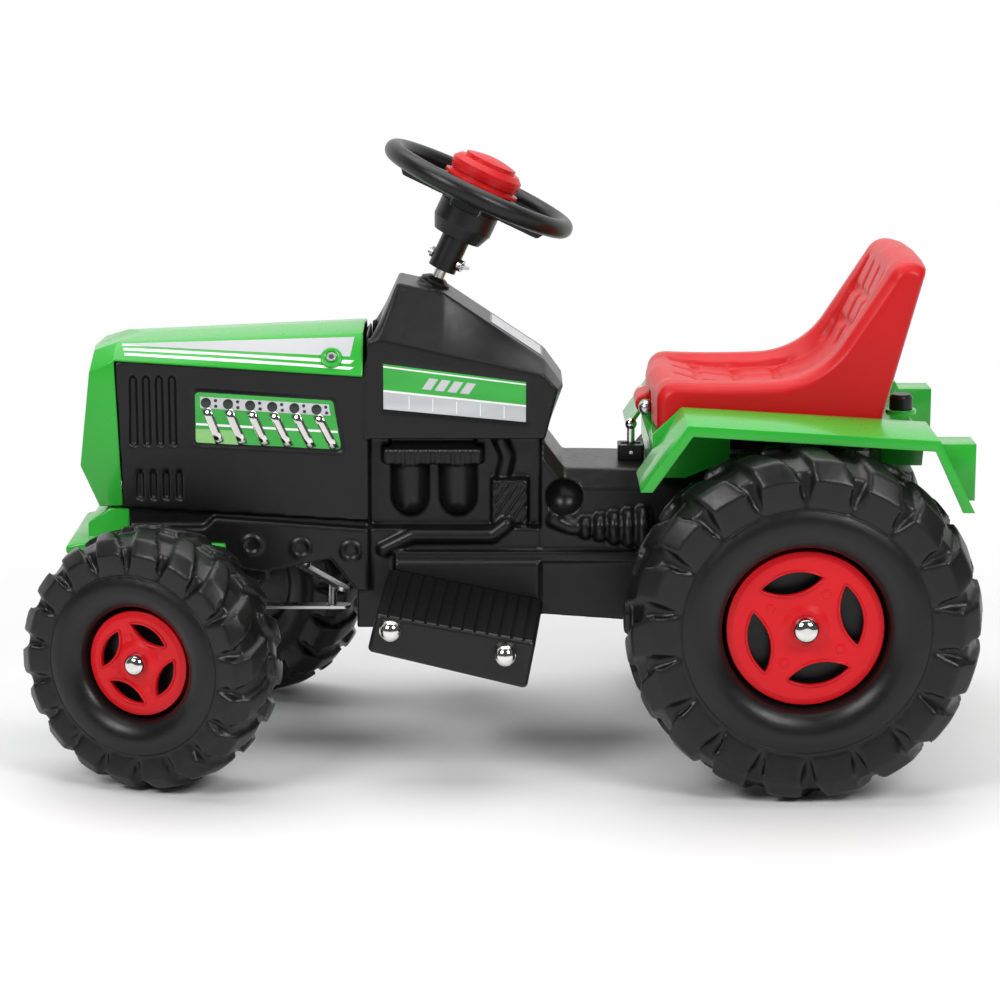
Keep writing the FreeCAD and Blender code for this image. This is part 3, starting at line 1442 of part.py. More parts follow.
def engine_shapes():
    """Engine forms moulded into the left wall of the bay and of the tail."""
    wall = -size.bay_half
    shapes = []
    for x in (size.canister_front_x, size.canister_rear_x):
        height = size.canister_top_z + size.cap_band_height / 2 - size.canister_low_z
        shapes.append(cylinder("canister", size.canister_radius, height, (x, wall, size.canister_low_z)))
        shapes.append(ball("canister_foot", size.canister_radius, (x, wall, size.canister_low_z)))
    band_low, band_high = size.canister_top_z, size.canister_top_z + size.cap_band_height
    shapes.append(box("cap_band", (size.cap_band_front_x, wall - size.cap_band_depth, band_low),
                      (size.cap_band_rear_x, wall + size.cap_knurl_depth, band_high)))
    step = (size.cap_band_rear_x - size.cap_band_front_x) / size.knurl_count
    for i in range(int(size.knurl_count.number)):
        x = size.cap_band_front_x + step * i + step / 2 - size.cap_knurl_width / 2
        shapes.append(box("knurl", (x, wall - size.cap_band_depth - size.cap_knurl_depth, band_low),
                          (x + size.cap_knurl_width, wall - size.cap_band_depth, band_high)))
    bar = size.cap_bar_height
    shapes.append(cylinder("cap_bar", bar, size.cap_band_rear_x - size.cap_band_front_x - bar * 2,
                           (size.cap_band_front_x + bar, wall - bar / 2, band_high), "x"))
    shapes.append(filter_box(wall))
    radius, front, start = size.pipe_radius, size.filter_front_x, size.cap_band_front_x
    across, down = UPPER_BEND_SHARES
    shapes.append(pipe("upper_pipe", [(front + radius, size.console_low_z),
                                      (front + radius * across, size.console_low_z - radius * down),
                                      (front + radius * UPPER_FOOT_SHARE, size.filter_top_z)], wall))
    shelf = size.bay_floor_z - radius
    shapes.append(pipe("lower_pipe", [(front + radius * 2, size.filter_low_z), (front, shelf),
                                      (start + radius * LOWER_BEND_SHARE, shelf),
                                      (start, size.bay_floor_z - radius * LOWER_END_SHARE)], -size.keel_half))
    side = -size.tail_half
    shapes.append(ball("filler_ball", size.ball_radius, (size.ball_x, side, size.ball_z)))
    shapes.append(pipe("elbow", [(size.ball_x, size.ball_z),
                                 (size.ball_x - radius * ELBOW_SHARE, size.bellows_z + radius),
                                 (size.bellows_front_x - radius, size.bellows_z),
                                 (size.bellows_front_x + radius, size.bellows_z)], side))
    shapes.append(bellows(side))
    return fuse("engine_left", *shapes)


def filter_box(wall):
    """A box with slanted ribs across its face."""
    face = wall - size.filter_depth
    block = box("filter_block", (size.filter_front_x, face, size.filter_low_z),
                (size.filter_rear_x, wall + size.filter_rib_depth, size.filter_top_z))
    rise = math.tan(math.radians(size.filter_rib_deg.number))
    width = size.filter_rear_x - size.filter_front_x
    step = (size.filter_top_z - size.filter_low_z + width * rise) / size.filter_rib_count
    grooves = []
    for i in range(int(size.filter_rib_count.number)):
        low = size.filter_low_z - width * rise + step * i + step / 2
        points = [(size.filter_front_x, low), (size.filter_rear_x, low + width * rise),
                  (size.filter_rear_x, low + width * rise + size.filter_rib_width),
                  (size.filter_front_x, low + size.filter_rib_width)]
        grooves.append(prism("filter_groove", "XZ_Plane", points, size.filter_rib_depth * 2,
                             -face - size.filter_rib_depth))
    return cut("filter_box", block, *grooves)


def pipe(name, route, wall):
    """A moulded pipe of round runs with ball corners, its axis on the wall; points are (x, z)."""
    parts = []
    for x, z in route:
        parts.append(ball(name + "_corner", size.pipe_radius, (x, wall, z)))
    for (x0, z0), (x1, z1) in zip(route, route[1:]):
        run = add("Part::Cylinder", name + "_run")
        bind(run, "Radius", size.pipe_radius)
        line = vector(x1 - x0, 0, z1 - z0)
        bind(run, "Height", line.Length)
        place(run, (x0, wall, z0), Rotation(V(0, 0, 1), line))
        parts.append(run)
    return fuse(name, *parts)


def bellows(wall):
    """A ribbed cone along the tail, turned about its own axis."""
    count = int(size.bellows_rib_count.number)
    step = size.bellows_length / count
    grow = (size.bellows_large_radius - size.bellows_small_radius) / count
    points = [(0, 0)]
    for i in range(count):
        outer = size.bellows_small_radius + grow * (i + 1)
        points.append((outer - size.bellows_groove, step * i))
        points.append((outer, step * (i + RIB_START_SHARE)))
        points.append((outer, step * (i + RIB_END_SHARE)))
    points.append((size.bellows_large_radius - size.bellows_groove, size.bellows_length))
    points.append((0, size.bellows_length))
    body = turned("bellows", points)
    return place(body, (size.bellows_front_x, wall, size.bellows_z), ALONG["x"])


def boss_rings():
    rings = []
    for i in range(int(size.boss_row_count.number)):
        at = (size.boss_row_front_x + size.boss_row_step * i, -size.sill_half - size.boss_ring_height,
              size.boss_row_z - size.boss_row_drop * i)
        disc_form = cylinder("boss_disc", size.boss_ring_radius, size.boss_ring_height * 2, at, "y")
        dish = cylinder("boss_dish", size.boss_ring_radius - size.boss_ring_wall, size.boss_ring_height,
                        at, "y")
        rings.append(cut("boss_ring", disc_form, dish))
    return fuse("boss_rings", *rings)


def body_cuts():
    """Room for the column, the battery, the axle bushes, the motor, rods, screws and bolts."""
    tools = []
    bore = cylinder("column_bore", size.column_radius + size.column_bore_gap, size.column_bottom,
                    (0, 0, -size.column_bottom - size.overrun))
    seat = cylinder("column_bush_seat", size.column_bush_radius + size.running_gap, size.overrun * 2,
                    (0, 0, -size.column_bush_top - size.overrun * 2))
    for tool in (bore, seat):
        tools.append(posed(tool.Name + "_tilted", tool, column_frame))
    gap = size.battery_gap
    bay_half = size.battery_half_width + gap
    tools.append(box("battery_bay", (size.battery_front_x - gap, -bay_half, size.battery_floor_z),
                     (size.battery_front_x + size.battery_length + gap, bay_half,
                      size.tail_top_front + size.overrun)))
    reach = size.tail_half * 2
    tools.append(cylinder("axle_bore", size.bush_radius + size.running_gap, reach * 2,
                          (size.rear_axle_x, -reach, size.rear_radius), "y"))
    motor_at = (size.rear_axle_x + size.motor_offset_x, -size.tail_half - size.overrun,
                size.rear_radius + size.motor_offset_z)
    tools.append(cylinder("motor_bore", size.motor_radius + size.slide_gap,
                          size.overrun + size.motor_length + size.seat_gap, motor_at, "y"))
    for x, z in ((size.rod_front_x, size.rod_front_z), (size.rod_rear_x, size.rod_rear_z)):
        tools.append(cylinder("rod_bore", size.rod_radius + size.running_gap, reach * 2, (x, -reach, z), "y"))
    for side in (-1, 1):
        tools.append(cylinder("bolt_bore", size.beam_bolt_radius + size.running_gap,
                              size.beam_bolt_depth + size.overrun,
                              (size.kingpin_x, size.beam_bolt_y * side, size.beam_top - size.overrun)))
    screw_reach = size.bonnet_half + size.overrun / 2
    tools.append(cylinder("bonnet_screw_bore", size.screw_radius + size.running_gap, screw_reach * 2,
                          (size.bonnet_screw_x, -screw_reach, size.bonnet_screw_z), "y"))
    return tools


def louvres():
    """Two rows of round-ended slots in the left panel."""
    half = size.louvre_width / 2
    floor_y = size.bonnet_half - size.bonnet_wall - size.seat_gap - size.louvre_depth
    slots = []
    for start_x, low, high in ((size.louvre_front_x, size.louvre_low_z, size.louvre_high_z),
                               (size.louvre_short_x, size.louvre_short_low_z, size.louvre_short_high_z)):
        for i in range(int(size.louvre_count.number)):
            x = start_x + size.louvre_pitch * i
            points = [(x - half, low), (x - half, high), (x + half, high), (x + half, low)]
            ends = {1: (x, high + half), 3: (x, low - half)}
            slots.append(prism("louvre", "XZ_Plane", points, size.overrun, floor_y, ends))
    return slots


def panel_recesses():
    """Shallow fields in the left side: the window in the panel and the badge field in the console."""
    window = prism("window_field", "XZ_Plane", [
        (size.window_front_x, size.window_front_top_z), (size.window_rear_x, size.window_rear_top_z),
        (size.window_rear_low_x, size.window_rear_low_z), (size.window_front_x, size.window_front_low_z)],
        size.overrun, size.bonnet_half - size.bonnet_wall - size.seat_gap - size.window_depth)
    badge = prism("badge_field", "XZ_Plane", [
        (size.badge_front_x, size.badge_front_top_z), (size.badge_rear_x, size.badge_rear_top_z),
        (size.badge_rear_x, size.badge_rear_low_z), (size.badge_front_x, size.badge_front_low_z)],
        size.overrun, size.console_half - size.badge_depth)
    across = edge_along(V(0, 1, 0))
    return [rounded("window_recess", window, size.window_round, across),
            rounded("badge_recess", badge, size.badge_round, across)]


def hull_hollows():
    """The empty inside of the moulding, as blocks that open into one another."""
    wall = size.hull_wall

    def room(name, x0, x1, half, z0, z1):
        return box(name, (x0, -half, z0), (x1, half, z1))

    front_x = size.console_front_x + wall
    return [
        room("bonnet_room", size.panel_front_x + wall, size.console_front_x - wall, size.front_half - wall,
             size.panel_bottom_front + wall, size.bonnet_strip_rear_z),
        room("console_room", front_x, size.shoulder_rear_x - wall, size.console_half - wall,
             size.console_low_z + wall, size.shoulder_rear_z - wall),
        room("bay_room", front_x, size.bay_rear_x - wall, size.bay_half - wall,
             size.bay_floor_z - wall, size.console_low_z + wall * 2),
        room("console_upper_room", size.console_top_front_x + wall * 2, size.console_top_rear_x,
             size.console_top_half - wall, size.shoulder_rear_z - wall,
             size.console_top_rear_z - wall * CONSOLE_ROOF_SHARE),
        room("keel_room", size.keel_front_x + wall * 2, size.tail_front_x - wall, size.keel_half - wall,
             size.rod_front_z + wall * 2, size.bay_floor_z - wall),
        room("tail_room", size.tail_front_x + wall, size.battery_front_x - wall, size.tail_top_half - wall,
             size.tail_bottom_front + wall, size.tail_top_rear - wall),
        room("floor_room", size.tail_front_x + wall, size.rear_axle_x - size.bush_radius - wall,
             size.tail_top_half - wall, size.tail_bottom_front + wall, size.battery_floor_z - wall),
        room("rear_room", size.battery_front_x + size.battery_length + wall, size.tail_rear_x - wall,
             size.tail_top_half - wall, size.tail_bottom_rear + wall * 2, size.tail_top_rear - wall),
    ]


def main_body():
    boss = cylinder("collar_boss", size.collar_boss_radius, size.collar_boss_depth,
                    (0, 0, -size.collar_seat - size.collar_boss_depth))
    collar = posed("collar_boss_tilted", boss, column_frame)
    engine = engine_shapes()
    rings = boss_rings()
    hull = fuse("hull", bonnet_block(), console(), bay_core(), tail(), keel(), front_hull(), collar,
                engine, mirrored("engine_right", engine), rings, mirrored("rings_right", rings))
    reliefs = both_sides("side_reliefs", group("side_reliefs_left", *louvres(), *panel_recesses()))
    return cut("main_body", hull, reliefs, *body_cuts(), *hull_hollows())


node("main_body", main_body())

# Bushes of the column, battery and drive

column_inner = size.column_radius + size.running_gap
collar_top = -size.collar_seat + size.collar_height
collar_rim = -size.collar_seat + size.collar_height * COLLAR_RIM_SHARE
collar_form = turned("collar_form", [(column_inner, -size.collar_seat), (size.collar_radius, -size.collar_seat),
                                     (size.collar_radius, collar_rim),
                                     (size.collar_radius * COLLAR_TOP_SHARE, collar_top),
                                     (column_inner, collar_top)])
node("column_collar", posed("column_collar", collar_form, column_frame))
node("column_bush", posed("column_bush", ring("column_bush_form", column_inner, size.column_bush_radius,
                                              -size.column_bush_top - size.column_bush_length,
                                              -size.column_bush_top), column_frame))


def battery():
    low = (size.battery_front_x, -size.battery_half_width, size.battery_floor_z)
    high = (size.battery_front_x + size.battery_length, size.battery_half_width,
            size.battery_floor_z + size.battery_height)
    case = rounded("battery_case", box("battery_box", low, high), size.battery_terminal_radius,
                   edge_along(V(0, 0, 1)))
    posts = []
    for share in POST_SHARES:
        posts.append(cylinder("battery_post", size.battery_terminal_radius, size.battery_terminal_height,
                              (size.battery_front_x + size.battery_length * share, 0, high[2])))
    return fuse("battery", case, *posts)


node("battery", battery())

rear_bush_form = ring("rear_bush_form", size.axle_radius + size.running_gap, size.bush_radius,
                      0, size.rear_bush_length)
rear_bush_at = (size.rear_axle_x, -size.tail_half + size.rear_bush_length, size.rear_radius)
place(rear_bush_form, rear_bush_at, outboard_left)
node("rear_axle_bushes", both_sides("rear_axle_bushes", rear_bush_form))


def gearbox():
    """Gear case against the left side of the tail, round the axle and under the motor."""
    x0 = size.rear_axle_x - size.gearbox_front_offset
    z0 = size.rear_radius - size.gearbox_front_offset
    low = (x0, -size.tail_half - size.gearbox_depth, z0)
    high = (x0 + size.gearbox_length, -size.tail_half - size.seat_gap, z0 + size.gearbox_height)
    case = rounded("gear_case", box("gear_block", low, high), size.gearbox_round, edge_along(V(0, 1, 0)))
    bore_from = -size.tail_half - size.gearbox_depth - size.overrun
    bore = cylinder("gear_bore", size.axle_radius + size.column_bore_gap,
                    size.gearbox_depth + size.overrun * 2, (size.rear_axle_x, bore_from, size.rear_radius), "y")
    return cut("gearbox", case, bore)


node("gearbox", gearbox())
node("drive_motor", cylinder("drive_motor", size.motor_radius, size.motor_length,
                             (size.rear_axle_x + size.motor_offset_x, -size.tail_half,
                              size.rear_radius + size.motor_offset_z), "y"))
dog_low = size.rear_web_back
dog_form = ring("dog_form", size.axle_radius + size.column_bore_gap, size.dog_radius,
                -dog_low - size.dog_length, -dog_low)
node("drive_dog", placed(dog_form, Placement(rear_centre, outboard_left)))


# Fender deck: one green moulding that carries the seat

def tail_top(x):
    """Height of the tail's sloping top at a place along it."""
    slope = (size.tail_top_rear - size.tail_top_front) / (size.tail_rear_x - size.tail_throat_x)
    return size.tail_top_front + (x - size.tail_throat_x) * slope


def fender_deck():
    """Deck plate with its walls and feet, a fender over each rear wheel, hinge ears and the knob's base."""
    wall = size.fender_wall
    path = [(size.fender_tip_x, size.fender_tip_z), (size.fender_top_front_x, size.fender_top_front_z),
            (size.fender_top_rear_x, size.fender_top_rear_z), (size.fender_end_x, size.fender_end_z)]

    def strip(depth):
        tip = size.fender_tip_width * depth / size.fender_lip
        under = [(size.fender_end_x - tip, size.fender_end_z),
                 (size.fender_top_rear_x - depth * STRIP_REAR_SHARE, size.fender_top_rear_z - depth),
                 (size.fender_top_front_x + depth * STRIP_FRONT_SHARE, size.fender_top_front_z - depth),
                 (size.fender_tip_x + tip, size.fender_tip_z)]
        return path + under

    reach = size.fender_half - size.deck_half
    fender = prism("fender_sheet", "XZ_Plane", strip(wall), reach, size.deck_half)
    lip = prism("fender_lip", "XZ_Plane", strip(size.fender_lip), wall, size.fender_half - wall)
    low, deep = size.fender_end_z, size.overrun
    slant = prism("leg_slant", "YZ_Plane", [
        (-size.fender_half + wall, low), (-size.deck_half, low + size.leg_rise),
        (-size.deck_half, low - deep), (-size.fender_half + wall, low - deep)],
        size.fender_end_x - size.fender_top_rear_x + deep, size.fender_top_rear_x)
    plate_low = size.deck_top_z - size.deck_thickness
    side = prism("deck_side", "XZ_Plane", [
        (size.deck_front_x, size.deck_wall_low_z), (size.deck_front_x, size.deck_top_z),
        (size.fender_top_front_x, size.fender_top_front_z), (size.fender_top_rear_x, size.fender_top_rear_z),
        (size.deck_rear_x, size.deck_wall_rear_low_z), (size.notch_rear_x, size.deck_wall_rear_low_z),
        (size.notch_rear_x, plate_low), (size.notch_front_x, plate_low),
        (size.notch_front_x, size.notch_front_low_z), (size.deck_side_toe_x, size.deck_wall_low_z)],
        wall, size.deck_half - wall)
    leg_x = size.fender_top_rear_x + (size.fender_end_x - size.fender_top_rear_x) * LAMP_TOP_SHARE
    lamp = prism("lamp_block", "XZ_Plane", [
        (leg_x - wall, size.lamp_block_top_z), (size.lamp_block_rear_x, size.lamp_block_top_z),
        (size.lamp_block_rear_x, size.lamp_block_low_z), (size.fender_end_x - wall / 2, size.lamp_block_low_z)],
        size.lamp_block_outer_y - size.lamp_block_inner_y, size.lamp_block_inner_y)
    left = fuse("deck_left", cut("fender_slanted", fender, slant), lip, side, lamp)
    plate = box("deck_plate", (size.deck_front_x, -size.deck_half, plate_low),
                (size.deck_rear_x, size.deck_half, size.deck_top_z))
    front_wall = box("deck_front", (size.deck_front_x, -size.deck_half, size.deck_wall_low_z),
                     (size.deck_front_x + wall, size.deck_half, size.deck_top_z))
    rear_wall = box("deck_rear", (size.deck_rear_x - wall, -size.deck_half, size.deck_wall_rear_low_z),
                    (size.deck_rear_x, size.deck_half, size.deck_top_z))
    pads = []
    for x in (size.deck_front_x + wall, size.deck_rear_x - size.deck_foot_setback):
        pads.append(box("deck_foot", (x, -size.tail_top_half, tail_top(x) + size.seat_gap),
                        (x + size.deck_foot_length, size.tail_top_half, size.deck_top_z)))
    crest = size.hinge_lug_radius * EAR_SHARE
    ear = prism("hinge_ear", "XZ_Plane", [
        (size.hinge_x - crest, size.hinge_z), (size.hinge_x + crest, size.hinge_z),
        (size.deck_front_x + wall, size.ear_low_z), (size.deck_front_x, size.ear_low_z)],
        size.ear_thickness, size.ear_half_span, {0: (size.hinge_x, size.hinge_z + crest)})
    pedestal = cylinder("knob_base", size.knob_base_radius, size.knob_base_height,
                        (size.seat_knob_x, 0, size.deck_top_z))
    whole = fuse("deck_whole", left, mirrored("deck_right", left), plate, front_wall, rear_wall, ear,
                 mirrored("ear_right", ear), pedestal, *pads)
    margin = size.deck_hatch_margin
    hatch_half = size.battery_half_width + margin
    hatch = box("deck_hatch", (size.battery_front_x - margin / 2, -hatch_half, size.deck_wall_low_z),
                (size.battery_front_x + size.battery_length + margin, hatch_half,
                 size.deck_top_z + size.overrun))
    reach = size.ear_half_span * 2
    pin_hole = cylinder("ear_hole", size.hinge_pin_radius + size.running_gap, reach * 2,
                        (size.hinge_x, -reach, size.hinge_z), "y")
    stud_hole = cylinder("stud_hole", size.seat_knob_stud + size.running_gap, size.overrun * 2,
                         (size.seat_knob_x, 0, size.deck_top_z - size.overrun))
    return cut("fender_deck", whole, hatch, pin_hole, stud_hole)


node("fender_deck", fender_deck())


# Seat: one moulding with raised bolsters, hinged at its front edge

def seat():
    """Side outlines from the left edge to the middle, joined to one moulding with hinge lugs."""
    low = size.deck_top_z + size.seat_gap
    front, length = size.seat_front_x, size.seat_rear_x - size.seat_front_x
    height = size.seat_back_top_z - low

    def at(point):
        return (front + length * point[0], low + height * point[1])

    sections = []
    for width, points, rounds in SEAT_SHARES:
        arcs = {corner: at(point) for corner, point in rounds.items()}
        sections.append((size.seat_half * width, [at(point) for point in points], arcs))
    shell = lofted("seat_shell", "XZ_Plane", mirrored_sections(sections))
    lug = cylinder("seat_lug", size.hinge_lug_radius, size.hinge_lug_half * 2,
                   (size.hinge_x, -size.hinge_lug_half, size.hinge_z), "y")
    reach = size.hinge_lug_half * 2
    hole = cylinder("seat_lug_hole", size.hinge_pin_radius + size.running_gap, reach * 2,
                    (size.hinge_x, -reach, size.hinge_z), "y")
    ear_room = cylinder("ear_room", size.ear_room_radius, size.ear_room_width,
                        (size.hinge_x, size.ear_half_span - size.slide_gap * 2, size.hinge_z), "y")
    wall = size.seat_wall
    underside = box("seat_underside", (front + wall * 2, -size.seat_half + wall * 2, low - size.overrun),
                    (size.seat_hollow_rear_x, size.seat_half - wall * 2, size.seat_pad_z - wall))
    return cut("seat", fuse("seat_lugged", shell, lug), hole, underside, both_sides("ear_rooms", ear_room))


node("seat", seat())


def hinge_pin():
    half = size.ear_half_span + size.ear_thickness
    rod = cylinder("hinge_rod", size.hinge_pin_radius, half * 2, (size.hinge_x, -half, size.hinge_z), "y")
    caps = []
    for side in (-1, 1):
        centre_y = (half + size.hinge_cap_radius * HINGE_CAP_SHARE) * side
        caps.append(ball("hinge_cap", size.hinge_cap_radius, (size.hinge_x, centre_y, size.hinge_z)))
    clear_half = half + size.seat_gap
    clear = box("hinge_cap_face", (size.hinge_x - size.overrun, -clear_half, size.hinge_z - size.overrun),
                (size.hinge_x + size.overrun, clear_half, size.hinge_z + size.overrun))
    ends = cut("hinge_caps", fuse("hinge_cap_pair", *caps), clear)
    core = cylinder("hinge_core", size.hinge_pin_radius, half * 2 + size.hinge_cap_radius,
                    (size.hinge_x, -half - size.hinge_cap_radius / 2, size.hinge_z), "y")
    return fuse("seat_hinge_pin", rod, core, ends)


node("seat_hinge_pin", hinge_pin())


def seat_knob():
    low = size.knob_base_height + size.seat_gap
    high = low + size.seat_knob_height
    shoulder = low + size.seat_knob_height * KNOB_BEVEL_SHARE
    points = [(0, low), (size.seat_knob_radius, low), (size.seat_knob_radius, shoulder),
              (size.seat_knob_radius * KNOB_BEVEL_SHARE, high), (0, high)]
    head = turned("knob_head", points)
    stud = cylinder("knob_stud", size.seat_knob_stud, size.knob_base_height + size.deck_thickness * 2 + low,
                    (0, 0, -size.deck_thickness * 2))
    return place(group("seat_knob", fuse("knob_whole", head, stud)), (size.seat_knob_x, 0, size.deck_top_z))


node("seat_knob", seat_knob())


# Direction lever on the tail

def lever_parts():
    x = size.lever_x
    half = size.lever_base_half
    floor_z = tail_top(x - half) + size.seat_gap
    top = floor_z + size.lever_base_height
    pivot_z = floor_z + size.lever_base_height / 2
    case = rounded("lever_case", box("lever_block", (x - half, -half, floor_z), (x + half, half, top)),
                   half * LEVER_ROUND_SHARE, edge_along(V(0, 0, 1)))
    slot_half = half * LEVER_SLOT_SHARE
    slot = box("lever_slot", (x - slot_half, -size.lever_slot / 2, floor_z + size.lever_floor),
               (x + slot_half, size.lever_slot / 2, top + size.overrun))
    reach = half * 2
    pin_hole = cylinder("lever_pin_hole", size.lever_pin_radius + size.running_gap, reach * 2,
                        (x, -reach, pivot_z), "y")
    base = cut("lever_base", case, slot, pin_hole)
    stem = cylinder("lever_stem", size.lever_radius, size.lever_height, (x, 0, pivot_z))
    knob = ball("lever_knob", size.lever_knob_radius, (x, 0, pivot_z + size.lever_height))
    pin_half = half * LEVER_PIN_SHARE
    pin = cylinder("lever_pin", size.lever_pin_radius, pin_half * 2, (x, -pin_half, pivot_z), "y")
    barrel_half = size.lever_slot / 2 - size.slide_gap
    barrel = cylinder("lever_barrel", size.lever_radius, barrel_half * 2, (x, -barrel_half, pivot_z), "y")
    return base, fuse("direction_lever", stem, knob, pin, barrel)


lever_base, lever = lever_parts()
node("lever_base", lever_base)
node("direction_lever", lever)


# Footrests, their rods and the accelerator pedal

def footrest():
    """Left footrest: a slanted block, higher against the hull, with a grooved tread."""
    outer = [(size.footrest_front_x, size.footrest_low_front_z),
             (size.footrest_front_x + size.footrest_lean, size.footrest_top_front_z),
             (size.footrest_rear_x, size.footrest_top_rear_z),
             (size.footrest_rear_x - size.footrest_lean, size.footrest_low_rear_z)]
    rise, lean = size.footrest_rise, size.footrest_lean
    inner = [(x + lean, z + rise * share) for (x, z), share in zip(outer, FOOTREST_RISE_SHARES)]
    block = lofted("footrest_block", "XZ_Plane",
                   [(size.footrest_inner_y, inner), (size.footrest_outer_y, outer)])
    soft = rounded("footrest_soft", block, size.footrest_round, lambda edge: True)
    wall = size.footrest_wall

    def hollow(points):
        front_low, front_top, rear_top, rear_low = points
        return [(front_low[0] + wall * 2, front_low[1] - size.overrun),
                (front_top[0] + wall, front_top[1] - wall),
                (rear_top[0] - wall, rear_top[1] - wall), (rear_low[0] - wall, rear_low[1] - size.overrun)]

    tools = [lofted("footrest_hollow", "XZ_Plane", [(size.footrest_inner_y + wall, hollow(inner)),
                                                    (size.footrest_outer_y - wall, hollow(outer))])]
    half, depth = size.tread_groove_width / 2, size.tread_groove_depth
    count = int(size.tread_groove_count.number)
    for i in range(count):
        share = (i + 1.0) / (count + 1)
        ends = []
        for y, points in ((size.footrest_inner_y, inner), (size.footrest_outer_y, outer)):
            x = points[1][0] + (points[2][0] - points[1][0]) * share
            z = points[1][1] + (points[2][1] - points[1][1]) * share
            ends.append((y, [(x - half, z - depth), (x + half, z - depth), (x + half, z + depth),
                             (x - half, z + depth)]))
        tools.append(lofted("tread_groove", "XZ_Plane", ends))
    for x, z in ((size.rod_front_x, size.rod_front_z), (size.rod_rear_x, size.rod_rear_z)):
        tools.append(cylinder("footrest_hole", size.rod_radius + size.running_gap, size.footrest_outer_y * 2,
                              (x, -size.footrest_outer_y - size.overrun, z), "y"))
    return cut("footrest_form", soft, *tools)


footrest_form = footrest()
node("footrest_left", footrest_form)


def rods_and_caps():
    half = size.footrest_outer_y + size.cap_seat_depth
    rods, caps = [], []
    for x, z in ((size.rod_front_x, size.rod_front_z), (size.rod_rear_x, size.rod_rear_z)):
        rods.append(cylinder("footrest_rod", size.rod_radius, half * 2, (x, -half, z), "y"))
        radius = size.rod_cap_radius
        hole = size.rod_radius + size.running_gap
        depth = size.cap_seat_depth + size.seat_gap
        rim, top = radius * ROD_CAP_RIM_SHARE, radius * ROD_CAP_TOP_SHARE
        points = [(hole, 0), (radius * ROD_CAP_FOOT_SHARE, 0), (radius, rim), (radius * DOME_FLAT_SHARE, top),
                  (0, top), (0, depth), (hole, depth)]
        cap = turned("rod_cap", points, {2: (radius * DOME_MID_SHARE, rim + (top - rim) * DOME_RISE_SHARE)})
        place(cap, (x, -size.footrest_outer_y - size.seat_gap, z), outboard_left)
        caps.append(cap)
    left = group("rod_caps_left", *caps)
    return group("footrest_rods", *rods), both_sides("footrest_caps", left)


footrest_rods, footrest_caps = rods_and_caps()
node("footrest_rods", footrest_rods)
node("footrest_caps", footrest_caps)


def pedal_ears():
    """Two ears on the right footrest that hold the pedal's pin."""
    ears = []
    foot_z = size.footrest_top_rear_z - size.footrest_round
    inner_y = size.pedal_inner_y - size.pedal_ear_width - size.slide_gap
    for y in (inner_y, size.pedal_outer_y + size.slide_gap):
        radius = size.pedal_ear_radius
        points = [(size.pedal_pivot_x - radius, foot_z), (size.pedal_pivot_x - radius, size.pedal_pivot_z),
                  (size.pedal_pivot_x + radius, size.pedal_pivot_z), (size.pedal_pivot_x + radius, foot_z)]
        ears.append(prism("pedal_ear", "XZ_Plane", points, size.pedal_ear_width, -y - size.pedal_ear_width,
                          {1: (size.pedal_pivot_x, size.pedal_pivot_z + radius)}))
    return ears


def accelerator():
    """Pedal plate, raised at its front, turning on a pin at its rear."""
    lift = math.tan(math.radians(size.pedal_rest_deg.number))
    x, z = size.pedal_pivot_x, size.pedal_pivot_z
    half = size.pedal_thickness / 2
    front_x = x - size.pedal_length
    points = [(x, z - half), (x, z + half), (front_x, z + half + size.pedal_length * lift),
              (front_x, z - half + size.pedal_length * lift)]
    width = size.pedal_outer_y - size.pedal_inner_y
    plate = prism("pedal_plate", "XZ_Plane", points, width, -size.pedal_outer_y, {0: (x + half, z)})
    hole = cylinder("pedal_hole", size.pedal_pin_radius + size.running_gap, width * 2,
                    (x, size.pedal_inner_y - width / 2, z), "y")
    return cut("accelerator_pedal", plate, hole)


pedal_span = size.pedal_outer_y - size.pedal_inner_y + (size.pedal_ear_width + size.slide_gap) * 2
pedal_pin_start = size.pedal_inner_y - size.pedal_ear_width - size.slide_gap
node("pedal_pin", cylinder("pedal_pin", size.pedal_pin_radius, pedal_span,
                           (size.pedal_pivot_x, pedal_pin_start, size.pedal_pivot_z), "y"))
ear_hole = cylinder("pedal_ear_hole", size.pedal_pin_radius + size.running_gap, pedal_span * 2,
                    (size.pedal_pivot_x, pedal_pin_start - pedal_span / 2, size.pedal_pivot_z), "y")
footrest_other = fuse("footrest_eared", mirrored("footrest_other", footrest_form), *pedal_ears())
node("footrest_right", cut("footrest_right", footrest_other, ear_hole))
node("accelerator_pedal", accelerator())


# Bumper in front of the hull, and the tow hitch behind it

def bumper():
    nose = [(size.bumper_nose_x, size.bumper_low_z),
            (size.bumper_nose_x, size.bumper_plate_top - size.bumper_bevel),
            (size.bumper_block_front_x, size.bumper_plate_top + size.bumper_bevel),
            (size.bumper_rear_x, size.bumper_plate_top), (size.bumper_rear_x, size.bumper_low_z)]
    plate = prism("bumper_plate", "XZ_Plane", nose, size.bumper_half * 2)
    hull_side = size.sill_half + size.seat_gap
    back = size.panel_front_x - size.seat_gap
    room = box("bumper_room", (back, -hull_side, size.bumper_low_z - size.overrun),
               (size.bumper_rear_x + size.overrun, hull_side, size.bumper_block_top))
    upright = [(size.bumper_block_front_x, size.bumper_low_z),
               (size.bumper_block_front_x, size.bumper_block_knee),
               (size.bonnet_chin_x + size.bonnet_setback, size.bumper_block_top),
               (back, size.bumper_block_top), (back, size.bumper_low_z)]
    block = prism("bumper_block", "XZ_Plane", upright, size.bumper_block_half * 2)
    return fuse("front_bumper", cut("bumper_frame", plate, room), block)


node("front_bumper", bumper())


